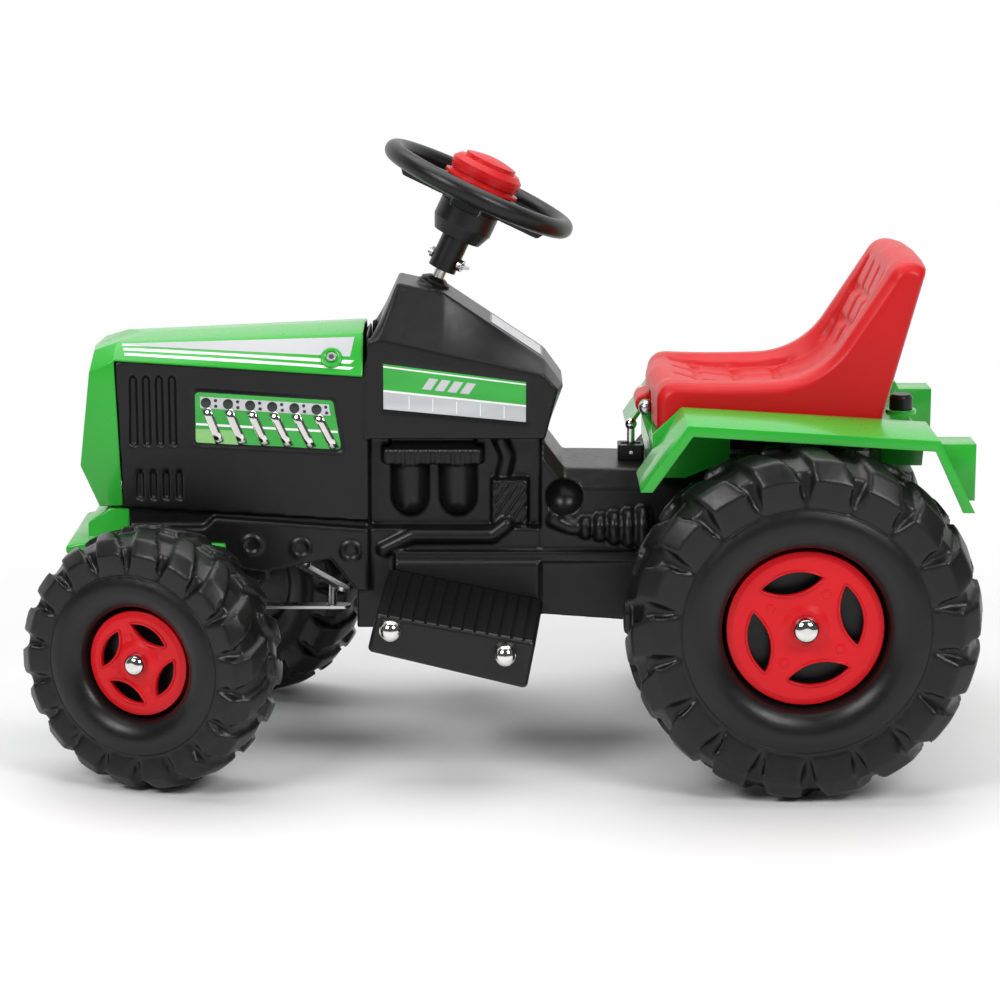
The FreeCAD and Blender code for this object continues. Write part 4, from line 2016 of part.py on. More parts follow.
def hitch():
    """Angle bracket on the hull's rear wall with a hole for a trailer's pin."""
    wall = size.tail_rear_x + size.seat_gap
    half = size.hitch_half_width
    tip = size.tail_rear_x + size.hitch_reach
    centre = tip - half * HITCH_EYE_SHARE
    outline = [(wall, -half), (centre, -half), (centre, half), (wall, half)]
    tongue = prism("hitch_tongue", "XY_Plane", outline, size.hitch_thickness,
                   size.hitch_z - size.hitch_thickness,
                   {1: (tip, 0)}, [(centre, 0, size.hitch_hole_radius)])
    plate = box("hitch_plate", (wall, -half, size.hitch_z - size.hitch_plate_height),
                (wall + size.hitch_plate_thickness, half, size.hitch_z))
    return fuse("tow_hitch", tongue, plate)


node("tow_hitch", hitch())

# Every object is sound before anything is written

doc.recompute()
failed = [obj.Name for obj in doc.Objects if "Invalid" in obj.State or "Error" in obj.State]
unsound = [name for name, obj in nodes.items()
           if obj.Shape.isNull() or not obj.Shape.isValid() or not obj.Shape.Solids]
if failed or unsound:
    raise RuntimeError("failed features %s, unsound sub-parts %s" % (failed, unsound))

os.makedirs("parts", exist_ok=True)
for name, obj in nodes.items():
    obj.Shape.exportStep("parts/%s.step" % name)
    print("%-22s solids %d volume %.1f cm3" % (name, len(obj.Shape.Solids), obj.Shape.Volume / 1000))
whole = Part.makeCompound([obj.Shape for obj in nodes.values()]).BoundBox
print("box x %.1f %.1f y %.1f %.1f z %.1f %.1f" % (whole.XMin, whole.XMax, whole.YMin, whole.YMax,
                                                   whole.ZMin, whole.ZMax))
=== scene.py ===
import json
import math

import bmesh
import bpy
import numpy as np
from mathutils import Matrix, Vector
from mathutils.bvhtree import BVHTree


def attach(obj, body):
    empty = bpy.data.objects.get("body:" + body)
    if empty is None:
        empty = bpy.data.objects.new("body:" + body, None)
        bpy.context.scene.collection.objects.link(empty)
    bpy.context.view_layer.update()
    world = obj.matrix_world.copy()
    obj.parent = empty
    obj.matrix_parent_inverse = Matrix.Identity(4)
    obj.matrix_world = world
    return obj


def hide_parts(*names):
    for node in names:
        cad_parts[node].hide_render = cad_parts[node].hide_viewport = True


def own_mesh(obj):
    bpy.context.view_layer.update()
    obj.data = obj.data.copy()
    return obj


# Lengths are in metres. The tractor drives towards -X, and its left side, which the photograph shows, faces -Y.

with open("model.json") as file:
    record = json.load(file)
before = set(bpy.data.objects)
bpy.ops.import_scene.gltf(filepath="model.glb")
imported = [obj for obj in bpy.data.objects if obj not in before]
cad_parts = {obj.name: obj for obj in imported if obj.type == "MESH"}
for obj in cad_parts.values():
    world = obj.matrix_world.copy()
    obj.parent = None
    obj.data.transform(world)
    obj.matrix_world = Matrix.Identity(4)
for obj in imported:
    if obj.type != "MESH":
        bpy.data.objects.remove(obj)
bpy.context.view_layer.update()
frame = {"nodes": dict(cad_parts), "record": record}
scene = bpy.context.scene
behaviour = frame["record"]["behaviour"]
body_of = {node: body for body, members in behaviour["bodies"].items() for node in members}
slot_of = {part["node"]: part["material_slot"] for part in frame["record"]["subparts"]}
joint_of = {joint["name"]: joint for joint in behaviour["joints"]}


# Materials. Each noise has a scale and a detail.

CLOUDS = (9.0, 4.0)
SHINE_PATCHES = (160.0, 5.0)
WALL_WAVES = (28.0, 1.0)
SKIN_GRAIN = (900.0, 2.0)
STREAKS = (700.0, 3.0)
DULL_PATCHES = (60.0, 4.0)
PRINT_DRIFT = (14.0, 1.5)
DOT_SCREEN = (1400.0, 1.0)
NOISE_ROUGHNESS = 0.55
NOISE_LOW, NOISE_HIGH = 0.25, 0.75

EDGE_SAMPLES = 4
PLASTIC_EDGE = 0.0012
METAL_EDGE = 0.0006
WAVE_DEPTH = 0.004
GRAIN_DEPTH = 0.0004
STREAK_DEPTH = 0.0002
STREAK_STRETCH = (1.0, 0.08, 1.0)
DOT_DEPTH = 0.0002
DOT_STRENGTH = 0.04

ROUGH_BELOW, ROUGH_ABOVE = 0.04, 0.05
DULL_SHADE = 0.86
DULL_ROUGH_SHARES = (0.8, 1.3)
FILM_WEIGHT = 0.35
CLEAR_ROUGHNESS = 0.12


def tree_of(name):
    material = bpy.data.materials.new(name)
    material.use_nodes = True
    nodes = material.node_tree.nodes
    return material, nodes, material.node_tree.links, nodes["Principled BSDF"]


def noise(nodes, links, source, scale, detail):
    texture = nodes.new("ShaderNodeTexNoise")
    texture.inputs["Scale"].default_value = scale
    texture.inputs["Detail"].default_value = detail
    texture.inputs["Roughness"].default_value = NOISE_ROUGHNESS
    links.new(source, texture.inputs["Vector"])
    return texture.outputs["Fac"]


def spread(nodes, links, value, low, high):
    """Maps a noise value to a range."""
    node = nodes.new("ShaderNodeMapRange")
    node.inputs["From Min"].default_value = NOISE_LOW
    node.inputs["From Max"].default_value = NOISE_HIGH
    node.inputs["To Min"].default_value = low
    node.inputs["To Max"].default_value = high
    links.new(value, node.inputs["Value"])
    return node.outputs["Result"]


def tint(nodes, links, value, first, second):
    """A colour that drifts between two with a noise value."""
    node = nodes.new("ShaderNodeMix")
    node.data_type = "RGBA"
    node.inputs["A"].default_value = (*first, 1)
    node.inputs["B"].default_value = (*second, 1)
    links.new(spread(nodes, links, value, 0.0, 1.0), node.inputs["Factor"])
    return node.outputs["Result"]


def bump(nodes, links, height, strength, distance, normal=None):
    node = nodes.new("ShaderNodeBump")
    node.inputs["Strength"].default_value = strength
    node.inputs["Distance"].default_value = distance
    links.new(height, node.inputs["Height"])
    if normal is not None:
        links.new(normal, node.inputs["Normal"])
    return node.outputs["Normal"]


def edge_round(nodes, radius):
    node = nodes.new("ShaderNodeBevel")
    node.samples = EDGE_SAMPLES
    node.inputs["Radius"].default_value = radius
    return node.outputs["Normal"]


def stretched(nodes, links, place, scale):
    node = nodes.new("ShaderNodeMapping")
    node.inputs["Scale"].default_value = scale
    links.new(place, node.inputs["Vector"])
    return node.outputs["Vector"]


def moulded(name, dark, light, rough, grain, wobble, specular=0.5, coat=0.0):
    """Moulded plastic: faint colour drift, grained skin, slow waves of the wall, worn-soft edges."""
    material, nodes, links, shader = tree_of(name)
    place = nodes.new("ShaderNodeTexCoord").outputs["Object"]
    clouds = noise(nodes, links, place, *CLOUDS)
    patches = noise(nodes, links, place, *SHINE_PATCHES)
    slow = noise(nodes, links, place, *WALL_WAVES)
    fine = noise(nodes, links, place, *SKIN_GRAIN)
    shine = spread(nodes, links, patches, rough - ROUGH_BELOW, rough + ROUGH_ABOVE)
    waves = bump(nodes, links, slow, wobble, WAVE_DEPTH, edge_round(nodes, PLASTIC_EDGE))
    links.new(tint(nodes, links, clouds, dark, light), shader.inputs["Base Color"])
    links.new(shine, shader.inputs["Roughness"])
    links.new(bump(nodes, links, fine, grain, GRAIN_DEPTH, waves), shader.inputs["Normal"])
    shader.inputs["Specular IOR Level"].default_value = specular
    shader.inputs["Coat Weight"].default_value = coat
    shader.inputs["Coat Roughness"].default_value = CLEAR_ROUGHNESS
    return material


def metal(name, colour, rough, scratch):
    """Plated metal with fine drawn streaks and a little dulling."""
    material, nodes, links, shader = tree_of(name)
    place = nodes.new("ShaderNodeTexCoord").outputs["Object"]
    streaks = noise(nodes, links, stretched(nodes, links, place, STREAK_STRETCH), *STREAKS)
    dull = noise(nodes, links, place, *DULL_PATCHES)
    dulled = [channel * DULL_SHADE for channel in colour]
    least, most = (rough * share for share in DULL_ROUGH_SHARES)
    drawn = bump(nodes, links, streaks, scratch, STREAK_DEPTH, edge_round(nodes, METAL_EDGE))
    links.new(tint(nodes, links, dull, dulled, colour), shader.inputs["Base Color"])
    links.new(spread(nodes, links, dull, least, most), shader.inputs["Roughness"])
    links.new(drawn, shader.inputs["Normal"])
    shader.inputs["Metallic"].default_value = 1.0
    return material


def printed(name, dark, light, rough, along):
    """Printed foil: colour that drifts along one axis, with a fine dot screen and a clear film on top."""
    material, nodes, links, shader = tree_of(name)
    place = nodes.new("ShaderNodeTexCoord").outputs["Object"]
    drift = noise(nodes, links, stretched(nodes, links, place, along), *PRINT_DRIFT)
    dots = noise(nodes, links, place, *DOT_SCREEN)
    links.new(tint(nodes, links, drift, dark, light), shader.inputs["Base Color"])
    links.new(bump(nodes, links, dots, DOT_STRENGTH, DOT_DEPTH), shader.inputs["Normal"])
    shader.inputs["Roughness"].default_value = rough
    shader.inputs["Coat Weight"].default_value = FILM_WEIGHT
    shader.inputs["Coat Roughness"].default_value = CLEAR_ROUGHNESS
    return material


MATERIALS = {
    "black_plastic": moulded("black_plastic", (0.0042, 0.0041, 0.0044), (0.0062, 0.0060, 0.0064),
                             rough=0.34, grain=0.18, wobble=0.05, specular=0.36),
    "tyre_plastic": moulded("tyre_plastic", (0.0046, 0.0045, 0.0048), (0.0070, 0.0068, 0.0071),
                            rough=0.34, grain=0.16, wobble=0.05, specular=0.36),
    "green_plastic": moulded("green_plastic", (0.016, 0.345, 0.024), (0.024, 0.40, 0.031),
                             rough=0.30, grain=0.05, wobble=0.03, specular=0.38, coat=0.35),
    "red_plastic": moulded("red_plastic", (0.49, 0.005, 0.007), (0.55, 0.007, 0.009),
                           rough=0.38, grain=0.09, wobble=0.03, specular=0.28),
    # Painted shade: the wheel discs, their slot lips and their marks get their own copy of the red plastic, whose
    # tone is set for the shade on the recessed discs.
    "disc_shade_red": moulded("disc_shade_red", (0.60, 0.004, 0.009), (0.66, 0.006, 0.012),
                        rough=0.34, grain=0.08, wobble=0.03, specular=0.28),
    "zinc_steel": metal("zinc_steel", (0.66, 0.66, 0.67), rough=0.28, scratch=0.12),
    "chrome": metal("chrome", (0.80, 0.79, 0.76), rough=0.10, scratch=0.02),
    "nylon": moulded("nylon", (0.62, 0.60, 0.55), (0.70, 0.68, 0.63), rough=0.45, grain=0.08, wobble=0.02),
    "battery_case": moulded("battery_case", (0.030, 0.034, 0.042), (0.040, 0.044, 0.052),
                            rough=0.40, grain=0.12, wobble=0.02),
}
PRINTS = {
    "silver": printed("silver_print", (0.48, 0.49, 0.51), (0.60, 0.60, 0.62), rough=0.30, along=(0.4, 1.0, 3.0)),
    "white": printed("white_print", (0.84, 0.86, 0.85), (0.90, 0.91, 0.90), rough=0.32, along=(1.0, 1.0, 1.0)),
    "green": printed("green_print", (0.014, 0.31, 0.030), (0.030, 0.43, 0.045), rough=0.28, along=(0.7, 1.0, 3.0)),
    "lime": printed("lime_print", (0.15, 0.46, 0.10), (0.30, 0.60, 0.20), rough=0.28, along=(1.0, 1.0, 3.0)),
    "grey": printed("grey_print", (0.42, 0.44, 0.46), (0.60, 0.61, 0.63), rough=0.34, along=(0.6, 1.0, 4.0)),
    "ink": printed("ink_print", (0.010, 0.012, 0.011), (0.022, 0.026, 0.024), rough=0.34, along=(1.0, 1.0, 1.0)),
}

for name, obj in frame["nodes"].items():
    obj.data.materials.clear()
    # The discs take the red copy whose tone is painted shade.
    obj.data.materials.append(MATERIALS["disc_shade_red" if "_disc_" in name else slot_of[name]])


# Mesh helpers

SHARP_ANGLE = 40.0


def full_turn(count):
    return [2 * math.pi * i / count for i in range(count)]


def half_turn(steps):
    return [math.pi * i / steps for i in range(steps + 1)]


def fade(distance, width):
    """0 up to a border, 1 from a width past it."""
    return np.clip(distance / width, 0.0, 1.0)


def points_of(mesh):
    flat = np.empty(len(mesh.vertices) * 3)
    mesh.vertices.foreach_get("co", flat)
    return flat.reshape(-1, 3)


def normals_of(mesh):
    flat = np.empty(len(mesh.vertices) * 3)
    mesh.vertices.foreach_get("normal", flat)
    return flat.reshape(-1, 3)


def set_points(mesh, points):
    mesh.vertices.foreach_set("co", points.ravel())
    mesh.update()


def add_object(name, mesh):
    obj = bpy.data.objects.new(name, mesh)
    scene.collection.objects.link(obj)
    return obj


def piece(name, work, material):
    """Turns a mesh under work into an object of one material."""
    mesh = bpy.data.meshes.new(name)
    work.to_mesh(mesh)
    work.free()
    mesh.materials.append(material)
    return add_object(name, mesh)


def bake(obj):
    """Applies the modifiers."""
    graph = bpy.context.evaluated_depsgraph_get()
    mesh = bpy.data.meshes.new_from_object(obj.evaluated_get(graph))
    obj.modifiers.clear()
    obj.data = mesh


def smooth(mesh):
    mesh.polygons.foreach_set("use_smooth", [True] * len(mesh.polygons))


def shade(obj, angle=SHARP_ANGLE):
    """Smooth faces that keep the edges sharper than an angle."""
    smooth(obj.data)
    obj.data.set_sharp_from_angle(angle=math.radians(angle))


def thicken(obj, thickness, even=False):
    """Gives a sheet its wall, on the inner side."""
    sheet = obj.modifiers.new("sheet", "SOLIDIFY")
    sheet.thickness = thickness
    sheet.offset = -1.0
    sheet.use_even_offset = even


def break_edges(obj, width, segments, angle):
    edge = obj.modifiers.new("edges", "BEVEL")
    edge.width = width
    edge.segments = segments
    edge.limit_method = "ANGLE"
    edge.angle_limit = math.radians(angle)


def close_rings(work, rings):
    """Joins rings of points to a closed body with flat ends."""
    count = len(rings[0])
    for low, high in zip(rings, rings[1:]):
        for i in range(count):
            j = (i + 1) % count
            work.faces.new((low[i], low[j], high[j], high[i]))
    work.faces.new(rings[0])
    work.faces.new(rings[-1])


def finished(name, work, material, node):
    """Turns a mesh under work into a piece that rides with a node."""
    bmesh.ops.recalc_face_normals(work, faces=work.faces)
    obj = piece(name, work, material)
    shade(obj)
    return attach(obj, body_of[node])


def surface(obj):
    """A search tree of a piece's skin at rest."""
    graph = bpy.context.evaluated_depsgraph_get()
    return BVHTree.FromObject(obj, graph)


# Softened stand-ins for moulded nodes

WELD = 1e-5
SEAM_SNAP = 1e-6
FLAT_ANGLE = 1.0
MOULDING_SHARP_ANGLE = 35.0
MOULDING_EDGE_ANGLE = 28.0
SCREW_EDGE_ANGLE = 40.0
SOFTEN_FACTOR = 0.5


def adopt(obj, node):
    """The piece stands for a CAD node: same body, same slot."""
    obj.data.materials.clear()
    obj.data.materials.append(MATERIALS[slot_of[node]])
    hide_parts(node)
    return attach(obj, body_of[node])


def copy_of(node, reshape=None, seams=()):
    """A copy of a node's mesh at rest, joined, cut along seams and, where asked, moved by a function."""
    source = frame["nodes"][node]
    mesh = source.data.copy()
    mesh.transform(source.matrix_world)
    work = bmesh.new()
    work.from_mesh(mesh)
    bmesh.ops.remove_doubles(work, verts=work.verts, dist=WELD)
    for place, normal in seams:
        skin = work.verts[:] + work.edges[:] + work.faces[:]
        bmesh.ops.bisect_plane(work, geom=skin, dist=SEAM_SNAP, plane_co=place, plane_no=normal)
    work.to_mesh(mesh)
    work.free()
    if reshape is not None:
        set_points(mesh, reshape(points_of(mesh)))
    return add_object(node + "_moulded", mesh)


def outer_skin(obj):
    """Drops closed rooms inside a hollow moulding, which nothing shows."""
    work = bmesh.new()
    work.from_mesh(obj.data)
    left = set(work.verts)
    shells = []
    while left:
        seed = left.pop()
        shell, front = {seed}, [seed]
        while front:
            near = {edge.other_vert(vert) for vert in front for edge in vert.link_edges} - shell
            shell |= near
            front = list(near)
        left -= shell
        shells.append(shell)

    def reach(shell):
        spans = [max(v.co[i] for v in shell) - min(v.co[i] for v in shell) for i in range(3)]
        return spans[0] * spans[1] * spans[2]

    shells.sort(key=reach)
    hidden = [vert for shell in shells[:-1] for vert in shell]
    bmesh.ops.delete(work, geom=hidden, context="VERTS")
    work.to_mesh(obj.data)
    work.free()


def blown(node, voxel, rounds, keep, reshape=None, carve=None, seams=()):
    """A blow-moulded skin: every edge and corner of the node rounded alike."""
    obj = copy_of(node, reshape, seams)
    outer_skin(obj)
    remesh = obj.modifiers.new("skin", "REMESH")
    remesh.mode = "VOXEL"
    remesh.voxel_size = voxel
    soften = obj.modifiers.new("soften", "SMOOTH")
    soften.factor = SOFTEN_FACTOR
    soften.iterations = rounds
    if carve is not None:
        bake(obj)
        carve(obj.data)
    thin = obj.modifiers.new("thin", "DECIMATE")
    thin.ratio = keep
    bake(obj)
    smooth(obj.data)
    return adopt(obj, node)


def bevelled(node, width, segments, angle=MOULDING_EDGE_ANGLE, reshape=None):
    """An injection moulding: flat faces kept, edges broken by a small radius."""
    obj = copy_of(node, reshape)
    work = bmesh.new()
    work.from_mesh(obj.data)
    bmesh.ops.dissolve_limit(work, angle_limit=math.radians(FLAT_ANGLE), verts=work.verts, edges=work.edges)
    work.to_mesh(obj.data)
    work.free()
    break_edges(obj, width, segments, angle)
    bake(obj)
    shade(obj, MOULDING_SHARP_ANGLE)
    return adopt(obj, node)


# Bonnet: a thin cap whose side strips lean in towards the top

BONNET_SIDE = {
    "foot_rear": (-0.133, -0.068, 0.3786),
    "foot_front": (-0.374, -0.068, 0.394),
    "edge_rear": (-0.133, -0.046, 0.418),
    "edge_front": (-0.373, -0.042, 0.4075),
    "brow": (-0.395, -0.045, 0.4005),
    "cheek": (-0.3985, -0.064, 0.381),
    "snout": (-0.4095, -0.063, 0.289),
    "chin": (-0.392, -0.060, 0.2475),
    "jaw": (-0.369, -0.068, 0.250),
}
BONNET_MIDDLE = {
    "ridge_rear": (-0.133, 0.0, 0.4225),
    "ridge_front": (-0.345, 0.0, 0.4115),
    "ridge_brow": (-0.400, 0.0, 0.3985),
    "ridge_cheek": (-0.404, 0.0, 0.378),
    "ridge_snout": (-0.413, 0.0, 0.286),
    "ridge_chin": (-0.398, 0.0, 0.2475),
}
BONNET_FACES = [
    ("foot_rear", "foot_front", "edge_front", "edge_rear"),
    ("edge_rear", "edge_front", "ridge_front", "ridge_rear"),
    ("edge_front", "brow", "ridge_brow", "ridge_front"),
    ("foot_front", "cheek", "brow", "edge_front"),
    ("foot_front", "jaw", "snout", "cheek"),
    ("jaw", "chin", "snout"),
    ("brow", "cheek", "ridge_cheek", "ridge_brow"),
    ("cheek", "snout", "ridge_snout", "ridge_cheek"),
    ("snout", "chin", "ridge_chin", "ridge_snout"),
]
BONNET_WALL = 0.0028
BONNET_EDGE = 0.0022
BONNET_EDGE_SEGMENTS = 3
BONNET_EDGE_ANGLE = 22.0
BONNET_SHARP_ANGLE = 32.0
FOOT_REAR = BONNET_SIDE["foot_rear"]
FOOT_FRONT = BONNET_SIDE["foot_front"]
EDGE_REAR = BONNET_SIDE["edge_rear"]
EDGE_FRONT = BONNET_SIDE["edge_front"]


def strip_place(x, share):
    """A place on the left strip: 0 at its foot, 1 at its top edge."""
    def along(rear, front):
        s = (x - rear[0]) / (front[0] - rear[0])
        return Vector(rear).lerp(Vector(front), s)

    return along(FOOT_REAR, FOOT_FRONT).lerp(along(EDGE_REAR, EDGE_FRONT), share)


def bonnet_cap():
    """The bonnet as one bent sheet, mirrored about the middle plane, with broken edges."""
    work = bmesh.new()
    middle = {name: work.verts.new(place) for name, place in BONNET_MIDDLE.items()}
    for sign in (1, -1):
        points = {name: work.verts.new((x, sign * y, z)) for name, (x, y, z) in BONNET_SIDE.items()}
        points.update(middle)
        for names in BONNET_FACES:
            work.faces.new([points[name] for name in names])
    bmesh.ops.recalc_face_normals(work, faces=work.faces)
    if max(work.faces, key=lambda face: face.calc_center_median().z).normal.z < 0:
        bmesh.ops.reverse_faces(work, faces=work.faces)
    obj = piece("bonnet_moulded", work, MATERIALS[slot_of["bonnet"]])
    thicken(obj, BONNET_WALL, even=True)
    break_edges(obj, BONNET_EDGE, BONNET_EDGE_SEGMENTS, BONNET_EDGE_ANGLE)
    bake(obj)
    shade(obj, BONNET_SHARP_ANGLE)
    return adopt(obj, "bonnet")


# Hull: its block is drawn in under the bonnet, and its side panels' slanted front edge up to the cowl

BLOCK_LEAN, BLOCK_LEAN_MOST = 1.6, 0.75
BLOCK_DROP = 0.0075
BLOCK_SEAM_GAP = 0.001
BLOCK_REAR_GAP = 0.0005
PANEL_FRONT = -0.370
PANEL_SLANT = 0.013
PANEL_TOP = 0.39
PANEL_HEIGHT = 0.14
PANEL_FOOT = 0.2485
EDGE_SHIFT = 0.0060
EDGE_BAND = 0.004
EDGE_FADE = 0.003
UNDER_BONNET = [
    (FOOT_REAR, (FOOT_FRONT[2] - FOOT_REAR[2], 0.0, FOOT_REAR[0] - FOOT_FRONT[0])),
    ((FOOT_REAR[0] - BLOCK_SEAM_GAP, 0.0, 0.0), (1.0, 0.0, 0.0)),
    ((FOOT_FRONT[0], 0.0, 0.0), (1.0, 0.0, 0.0)),
]


def tuck(points):
    """Draws the hull's block in under the leaning bonnet and its front edge up to the cowl."""
    moved = points.copy()
    x, y, z = points.T
    foot = np.interp(x, (FOOT_FRONT[0], FOOT_REAR[0]), (FOOT_FRONT[2], FOOT_REAR[2]))
    roof = np.interp(x, (EDGE_FRONT[0], EDGE_REAR[0]), (EDGE_FRONT[2], EDGE_REAR[2]))
    share = fade(z - foot, roof - foot) * (x < FOOT_REAR[0] - BLOCK_REAR_GAP)
    moved[:, 1] = y * (1.0 - np.minimum(BLOCK_LEAN * share, BLOCK_LEAN_MOST))
    moved[:, 2] = z - share * np.maximum(z - roof + BLOCK_DROP, 0.0)
    down = fade(PANEL_TOP - z, PANEL_HEIGHT)
    at_edge = fade(PANEL_FRONT + PANEL_SLANT * down + EDGE_BAND - x, EDGE_FADE) * (z > PANEL_FOOT)
    moved[:, 0] = x - EDGE_SHIFT * at_edge * down
    return moved


# Bonnet screws: moved from the solid's upright side to the leaning strip. Profiles are radius and height.

SCREW_X = -0.1635
SCREW_SHARE = 0.40
SCREW_WAS = (-0.068, 0.395)
STRIP_RUN, STRIP_RISE = 0.0223, 0.0364
SCREW_TILT = math.atan2(STRIP_RUN, STRIP_RISE)
BOSS_PROFILE = [(0.0105, -0.0022), (0.0105, 0.0008), (0.0101, 0.0014), (0.0094, 0.0017), (0.0072, 0.0017),
                (0.0066, 0.0014), (0.0064, 0.0006), (0.0058, 0.0003), (0.0030, 0.0003)]
BOSS_SIDES = 40
# Painted shade: the sockets are dark six-sided caps on the screw heads, standing for the shade inside each screw's
# hollow socket.
SOCKET_SHADE_PROFILE = [(0.0027, 0.0026), (0.0027, 0.0031), (0.0026, 0.0034), (0.0022, 0.0034), (0.0019, 0.00335)]
SOCKET_SHADE_SIDES = 6


def on_strip(place, sign):
    """Carries a place from the upright left side to the leaning strip, or to the other side's with sign -1."""
    x, y, z = place
    seat = strip_place(SCREW_X, SCREW_SHARE)
    out, up = SCREW_WAS[0] - y, z - SCREW_WAS[1]
    c, s = math.cos(SCREW_TILT), math.sin(SCREW_TILT)
    return (x, sign * (seat.y - out * c + up * s), seat.z + out * s + up * c)


def lean_screws(points):
    return np.array([on_strip((x, -abs(y), z), -math.copysign(1.0, y)) for x, y, z in points])


def on_screws(name, profile, sides, material, node):
    """A closed body of rings about each bonnet screw's axis."""
    work = bmesh.new()
    for sign in (1, -1):
        rings = []
        for radius, height in profile:
            ring = []
            for angle in full_turn(sides):
                across, up = radius * math.cos(angle), radius * math.sin(angle)
                place = (SCREW_X + across, SCREW_WAS[0] - height, SCREW_WAS[1] + up)
                ring.append(work.verts.new(on_strip(place, sign)))
            rings.append(ring)
        close_rings(work, rings)
    finished(name, work, MATERIALS[material], node)


# Seat: soft pads with grooves between them. Each border has a place and a width over which it fades.

PAD_ROWS = (0.196, 0.236, 0.276)
BACK_ROWS = (0.418, 0.449)
PAD_COLUMNS = (-0.064, -0.0215, 0.0215, 0.064)
GROOVE_DEPTH = 0.0032
GROOVE_HALF = 0.0042
GROOVES_MOST = 1.1
FACING_LEAST, FACING_GAIN = 0.45, 3.0
PAD_SIDE, PAD_SIDE_FADE = 0.070, 0.006
CUSHION_FRONT, CUSHION_FRONT_FADE = 0.168, 0.006
CUSHION_REAR, CUSHION_REAR_FADE = 0.300, 0.01
BACK_FOOT, BACK_FOOT_FADE = 0.392, 0.008
BACK_TOP, BACK_TOP_FADE = 0.482, 0.006


def grooves(distance_along, places):
    return sum(np.exp(-((distance_along - place) / GROOVE_HALF) ** 2) for place in places)


def quilt(mesh):
    """Presses seams into the cushion and the back."""
    points, normals = points_of(mesh), normals_of(mesh)
    x, y, z = points.T
    facing = np.clip((normals[:, 2] - normals[:, 0] - FACING_LEAST) * FACING_GAIN, 0.0, 1.0)
    side = fade(PAD_SIDE - np.abs(y), PAD_SIDE_FADE)
    cushion = fade(x - CUSHION_FRONT, CUSHION_FRONT_FADE) * fade(CUSHION_REAR - x, CUSHION_REAR_FADE)
    back = fade(z - BACK_FOOT, BACK_FOOT_FADE) * fade(BACK_TOP - z, BACK_TOP_FADE)
    rows = grooves(x, PAD_ROWS) * cushion + grooves(z, BACK_ROWS) * back
    columns = grooves(y, PAD_COLUMNS) * np.maximum(cushion, back)
    depth = GROOVE_DEPTH * facing * side * np.minimum(rows + columns, GROOVES_MOST)
    set_points(mesh, points - normals * depth[:, None])


# Horn spring: a stand-in with a mesh of its own

HORN_LEAN = math.radians(25.0)
HORN_AXIS = np.array((math.sin(HORN_LEAN), 0.0, math.cos(HORN_LEAN)))


def horn_spring():
    """A shaded copy of the spring with a mesh of its own."""
    obj = adopt(copy_of("horn_spring"), "horn_spring")
    shade(obj)
    points = points_of(obj.data)
    along = points @ HORN_AXIS
    tuple(points[along.argmin()])
    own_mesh(obj)


blown("main_body", voxel=0.0018, rounds=4, keep=0.42, reshape=tuck, seams=UNDER_BONNET)
for side in ("left", "right"):
    blown("rear_tyre_" + side, voxel=0.0024, rounds=4, keep=0.45)
    blown("front_tyre_" + side, voxel=0.0022, rounds=4, keep=0.45)
blown("seat", voxel=0.0020, rounds=9, keep=0.55, carve=quilt)
blown("steering_wheel", voxel=0.0015, rounds=4, keep=0.45)
bonnet = bonnet_cap()
bevelled("bonnet_screws", width=0.0003, segments=1, angle=SCREW_EDGE_ANGLE, reshape=lean_screws)
bevelled("fender_deck", width=0.0014, segments=2)
bevelled("front_bumper", width=0.0022, segments=2)
horn_spring()


# Wheels: lips round the slots, marks between them, and a fine line round each tyre's wall

WHEEL_RADII = {"rear": (0.168, 0.0735), "front": (0.126, 0.0505)}
SLOT_RADIUS_SHARE = 0.61
SLOT_SEARCH_STEPS = 720
LIP_RADIUS = 0.0011
LIP_OFFSET = 0.0012
LIP_STEPS = 72
LIP_STRIDE = 0.0003
LIP_STRIDES = range(4, 160)
BEAD_SIDES = 8
MARK_RADIUS_SHARE = 0.52
MARK_RADIUS = 0.0050
MARK_RISE = 0.0005
MARK_TOP_SHARE = 0.85
MARK_SIDES = 6
MARK_PROFILE = [(MARK_RADIUS, -2 * MARK_RISE), (MARK_RADIUS, MARK_RISE / 2),
                (MARK_TOP_SHARE * MARK_RADIUS, MARK_RISE)]
WALL_LINE_SHARE = 0.69
WALL_LINE_RADIUS = 0.0008
WALL_LINE_STEPS = 144
OUTSIDE = 0.3


